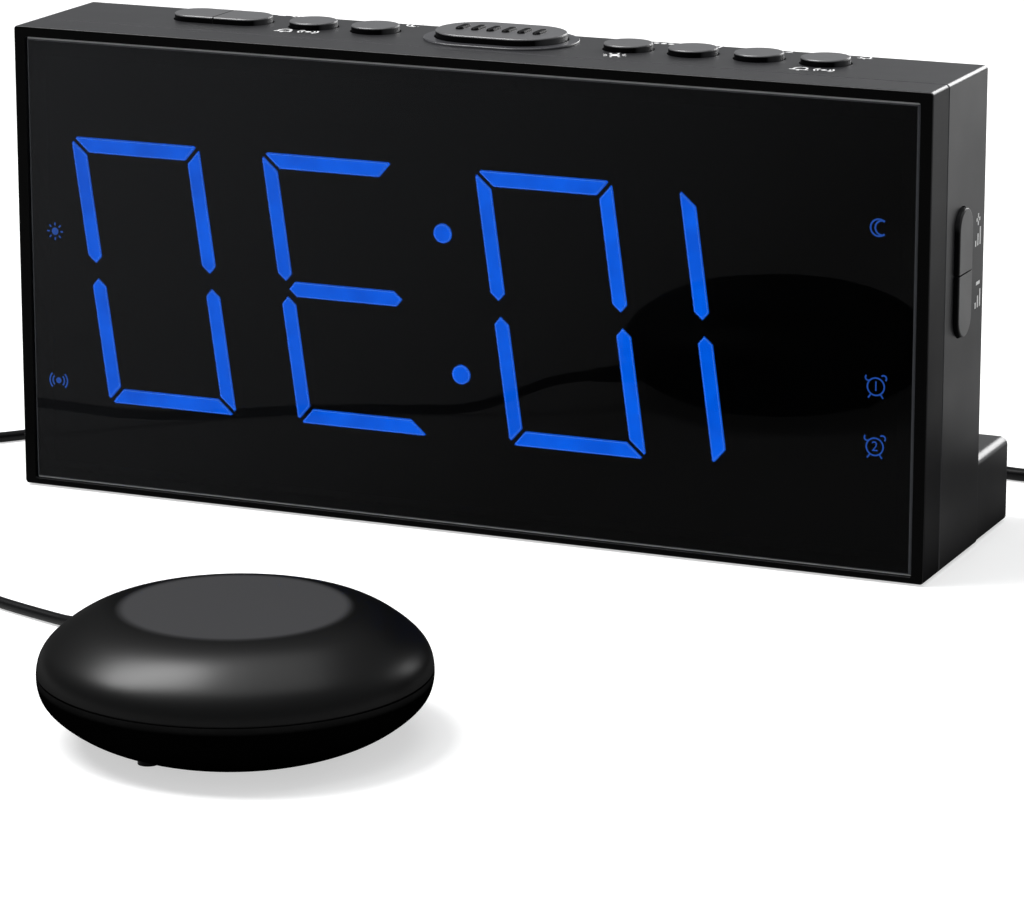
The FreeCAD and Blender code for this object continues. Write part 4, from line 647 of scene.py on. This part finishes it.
# Signs printed beside the keys, on the top and on the right side: white pad-printed ink, a few millimetres
# tall and hardly thicker than paint. They are plain pictures and numerals.
white, tree = empty_material("white pad-printed ink")
place = add(tree, "TexCoord").outputs["Object"]
patchy = add(tree, "TexNoise", {"Vector": place, "Scale": 1000 / 0.6, "Detail": 3.0})
shade = add(tree, "ValToRGB", {"Fac": patchy})
shade.color_ramp.elements[0].color, shade.color_ramp.elements[1].color = linear("#c9c9c9"), linear("#f2f2f2")
add(tree, "OutputMaterial", {"Surface": add(tree, "BsdfPrincipled", {
    "Base Color": shade.outputs["Color"], "Roughness": 0.5, "Specular IOR Level": 0.3})})


def rising_bars(shape):
    """Three bars, each taller than the last, for loudness."""
    for i in range(3):
        bar(shape, (0.0014 * (i - 1), 0.0006 * i - 0.0006), 0.0007, 0.0012 + 0.0012 * i)


case_high = islands("rear_housing")[0][1]
# The middle of each sign in millimetres, across and along the top, and then along and up the side.
top_signs = (
    (-52.8, 5.6, lambda s: [bar(s, (-0.0016, 0), 0.0018, 0.0006), bar(s, (0.0016, 0), 0.0018, 0.0006),
                            bar(s, (0.0016, 0), 0.0018, 0.0006, 90)]),
    (-45.6, -10.9, lambda s: [bell(s, 0.0046)]),
    (-40.4, -10.9, lambda s: [waves(s, 0.0040)]),
    (-23.5, 5.2, lambda s: [moon(s, 0.0042)]),
    (28.0, -12.2, lambda s: [sun(s, 0.0048)]),
    (32.0, 4.4, lambda s: [disc(s, (x, 0), 0.0006) for x in (-0.0016, 0.0, 0.0016)]),
    (44.0, 5.3, lambda s: [figure(s, "1", 0.0042, (0, 0))]),
    (58.8, 5.5, lambda s: [figure(s, "2", 0.0042, (0, 0))]),
    (67.4, -12.0, lambda s: [bell(s, 0.0046)]),
    (72.2, -12.0, lambda s: [waves(s, 0.0038)]),
    (75.1, 4.8, lambda s: [bell(s, 0.0036)]))
side_signs = (
    (2.2, 68.0, lambda s: [bar(s, (0, 0), 0.0024, 0.0007), bar(s, (0, 0), 0.0024, 0.0007, 90)]),
    (2.2, 63.9, rising_bars),
    (2.8, 55.0, lambda s: [bar(s, (0, 0), 0.0024, 0.0007)]),
    (2.8, 51.2, rising_bars))
to_side = Matrix(((0, 0, 1, 0), (1, 0, 0, 0), (0, 1, 0, 0), (0, 0, 0, 1)))
shape = bmesh.new()
for x, y, sign in top_signs:
    stamp(shape, sign, Matrix.Translation((x / 1000, y / 1000, case_high.z + print_lift)))
for y, z, sign in side_signs:
    stamp(shape, sign, Matrix.Translation((case_high.x + print_lift, y / 1000, z / 1000)) @ to_side)
signs = show("printed_signs", shape, white)
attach(signs, "clock")

# Boards, chips and lamps inside: green lacquered laminate, moulded black parts and clear blue lamps.
# The lacquer is glossy over copper tracks that show as lighter lines a millimetre or so apart.
laminate, tree = empty_material("green lacquered laminate")
place = add(tree, "TexCoord").outputs["Object"]
tracks = add(tree, "TexBrick", {
    "Vector": place, "Scale": 1000 / 8, "Mortar Size": 0.03, "Color1": linear("#0d3b1c"),
    "Color2": linear("#104423"), "Mortar": linear("#1c6a38")})
add(tree, "OutputMaterial", {"Surface": add(tree, "BsdfPrincipled", {
    "Base Color": tracks.outputs["Color"], "Roughness": 0.28, "Coat Weight": 0.4})})
dress(laminate, "display_board", "key_board", "side_key_board", "main_board")
epoxy = moulded("moulded epoxy", "#111112", 0.55, 0.4, 0.3, 0.008)
dress(epoxy, "board_chips", "key_switches", "side_key_switches")
dress(moulded("glossy black nylon", "#0c0c0d", 0.30, 0.45, 0.8, 0.004), "power_jack", "shaker_jack")
dress(moulded("clear blue lamp resin", "#b8c6da", 0.2, 0.5, 0.6, 0.002), "segment_leds")
dress(moulded("grey PVC ribbon", "#8f9296", 0.45, 0.4, 1.27, 0.10), "ribbon_cable")

# The speaker and the backup cells: a pressed steel basket with a black coat, a felted paper cone and a
# grey sintered magnet, and three plain cells in smooth shrink sleeves.
dress(moulded("black-coated steel", "#101011", 0.45, 0.5, 0.4, 0.01), "speaker_frame")
dress(moulded("felted paper", "#1d1c1a", 0.95, 0.1, 0.5, 0.06), "speaker_cone")
dress(moulded("sintered ferrite", "#2a2a2c", 0.75, 0.3, 0.4, 0.02), "speaker_magnet")
dress(moulded("PVC shrink sleeve", "#5c6670", 0.28, 0.5, 3.0, 0.01), "backup_cells")

# The keys: caps of the same black ABS as the case, with a smoother grain that gives a satin top and
# thin bright glints round their rims. Their tops are painted a lighter grey than the case, as painted light,
# and their walls nearly black, as painted shade. The nubs on the snooze bar rise between these heights over
# the table, and are painted dark as shade.
nub_foot, nub_side = 0.10028, 0.10040


def satin_key(name, top, shine_full):
    """Satin and painted lighter where a face looks up or outwards, and painted nearly black as shade on the
    walls and on the snooze bar's nubs.
    """
    made, tree = empty_material(name)
    place = add(tree, "TexCoord")
    grain = add(tree, "TexNoise", {"Vector": place.outputs["Object"], "Scale": 1000 / 0.3, "Detail": 2.0})
    bump = add(tree, "Bump", {"Height": grain, "Strength": 0.35, "Distance": 0.000008})
    lit_share = add(tree, "Math", {0: facing(tree, "Z", 0.0, 0.35), 1: facing(tree, "X", 0.6, 0.95)},
                  operation="MAXIMUM")
    height = add(tree, "SeparateXYZ", {"Vector": place.outputs["Object"]}).outputs["Z"]
    clear_of_nub_shade = add(tree, "MapRange", {"Value": height, "From Min": nub_foot, "From Max": nub_side,
                                        "To Min": 1.0, "To Max": 0.0}).outputs[0]
    unshaded = add(tree, "Math", {0: painted_wall_shade(tree), 1: -1.1, 2: 1.0}, operation="MULTIPLY_ADD")
    lit_share = add(tree, "Math", {0: lit_share, 1: clear_of_nub_shade}, operation="MULTIPLY")
    lit_share = add(tree, "Math", {0: lit_share, 1: unshaded}, operation="MULTIPLY")
    tint = add(tree, "MixRGB", {"Fac": lit_share, "Color1": linear("#040405"), "Color2": linear(top)})
    shine = add(tree, "MapRange", {"Value": lit_share, "To Min": 0.04, "To Max": shine_full})
    drift = add(tree, "TexNoise", {"Vector": place.outputs["Object"], "Scale": 1000 / 9, "Detail": 3.0})
    rough = add(tree, "MapRange", {"Value": drift, "To Min": 0.36, "To Max": 0.46})
    add(tree, "OutputMaterial", {"Surface": add(tree, "BsdfPrincipled", {
        "Base Color": tint, "Roughness": rough.outputs[0], "Specular IOR Level": shine.outputs[0],
        "Normal": bump})})
    return made


dress(satin_key("satin black ABS", "#464648", 1.0), "left_key_1", "left_key_2", "right_key_1",
      "right_key_2", "right_key_3", "right_key_4", "pair_key_left", "pair_key_right", "snooze_button")
dress(satin_key("dark satin ABS", "#161618", 0.45), "volume_up_key", "volume_down_key")
dress(moulded("satin grey ABS ring", "#303033", 0.34, 0.55, 0.3, 0.006), "snooze_surround")

# Plugs and the wall adapter: soft PVC over-moulds and a hard black shell with a fine grain.
over_mould = moulded("over-moulded soft PVC", "#121213", 0.55, 0.35, 0.5, 0.02, 5.0)
dress(over_mould, "power_plug", "shaker_plug")
dress(moulded("grained polycarbonate", "#151517", 0.50, 0.40, 0.4, 0.02, 9.0), "adapter_body")

# The bed shaker's shells: black ABS, polished on the crown and left matt in the flat round top that the
# finger finds in the dark. Down the crown's sides the polish fades into a near-black finish without gloss, as
# painted shade, and the underside is plain and dull.
shaker_x, shaker_y, matt_radius, polished_radius = 0.0185, -0.1648, 0.0190, 0.0215
puck, tree = empty_material("polished black ABS with a matt top")
place = add(tree, "TexCoord")
centred = add(tree, "Mapping", {"Vector": place.outputs["Object"], "Location": (-shaker_x, -shaker_y, 0.0)})
flat = add(tree, "VectorMath", {0: centred, 1: (1.0, 1.0, 0.0)}, operation="MULTIPLY")
reach = add(tree, "VectorMath", {0: flat}, operation="LENGTH")
top = add(tree, "MapRange", {
    "Value": reach.outputs["Value"], "From Min": matt_radius, "From Max": polished_radius, "To Min": 1.0,
    "To Max": 0.0}, interpolation_type="SMOOTHSTEP")
pits = add(tree, "TexNoise", {"Vector": place.outputs["Object"], "Scale": 1000 / 0.3, "Detail": 2.0})
bump = add(tree, "Bump", {"Height": pits, "Strength": add(
    tree, "Math", {0: top.outputs[0], 1: 0.4}, operation="MULTIPLY"), "Distance": 0.00001})
colour = add(tree, "MixRGB", {"Fac": top.outputs[0], "Color1": linear("#020202"),
                              "Color2": linear("#242426")})
rough = add(tree, "MapRange", {"Value": top.outputs[0], "To Min": 0.34, "To Max": 0.7})
body = add(tree, "BsdfPrincipled", {"Base Color": colour, "Roughness": 0.7, "Specular IOR Level": 0.0,
                                    "Normal": bump})
# The polish is a thin even gloss, the same at every slope.
polish_share = 0.028
polish = add(tree, "BsdfPrincipled", {"Base Color": linear("#ffffff"), "Metallic": 1.0,
                                      "Roughness": rough.outputs[0]})
crown = add(tree, "MixShader", {0: polish_share, 1: body, 2: polish})
# A near-black finish without gloss, painted on faces that slope down: painted shade.
dull = moulded_skin(tree, "#020202", 0.55, 0.0, 0.3, 0.008)
add(tree, "OutputMaterial", {"Surface": add(
    tree, "MixShader", {0: facing(tree, "Z", -0.10, 0.70), 1: dull, 2: crown})})
dress(puck, "shaker_top_shell", "shaker_base_shell")
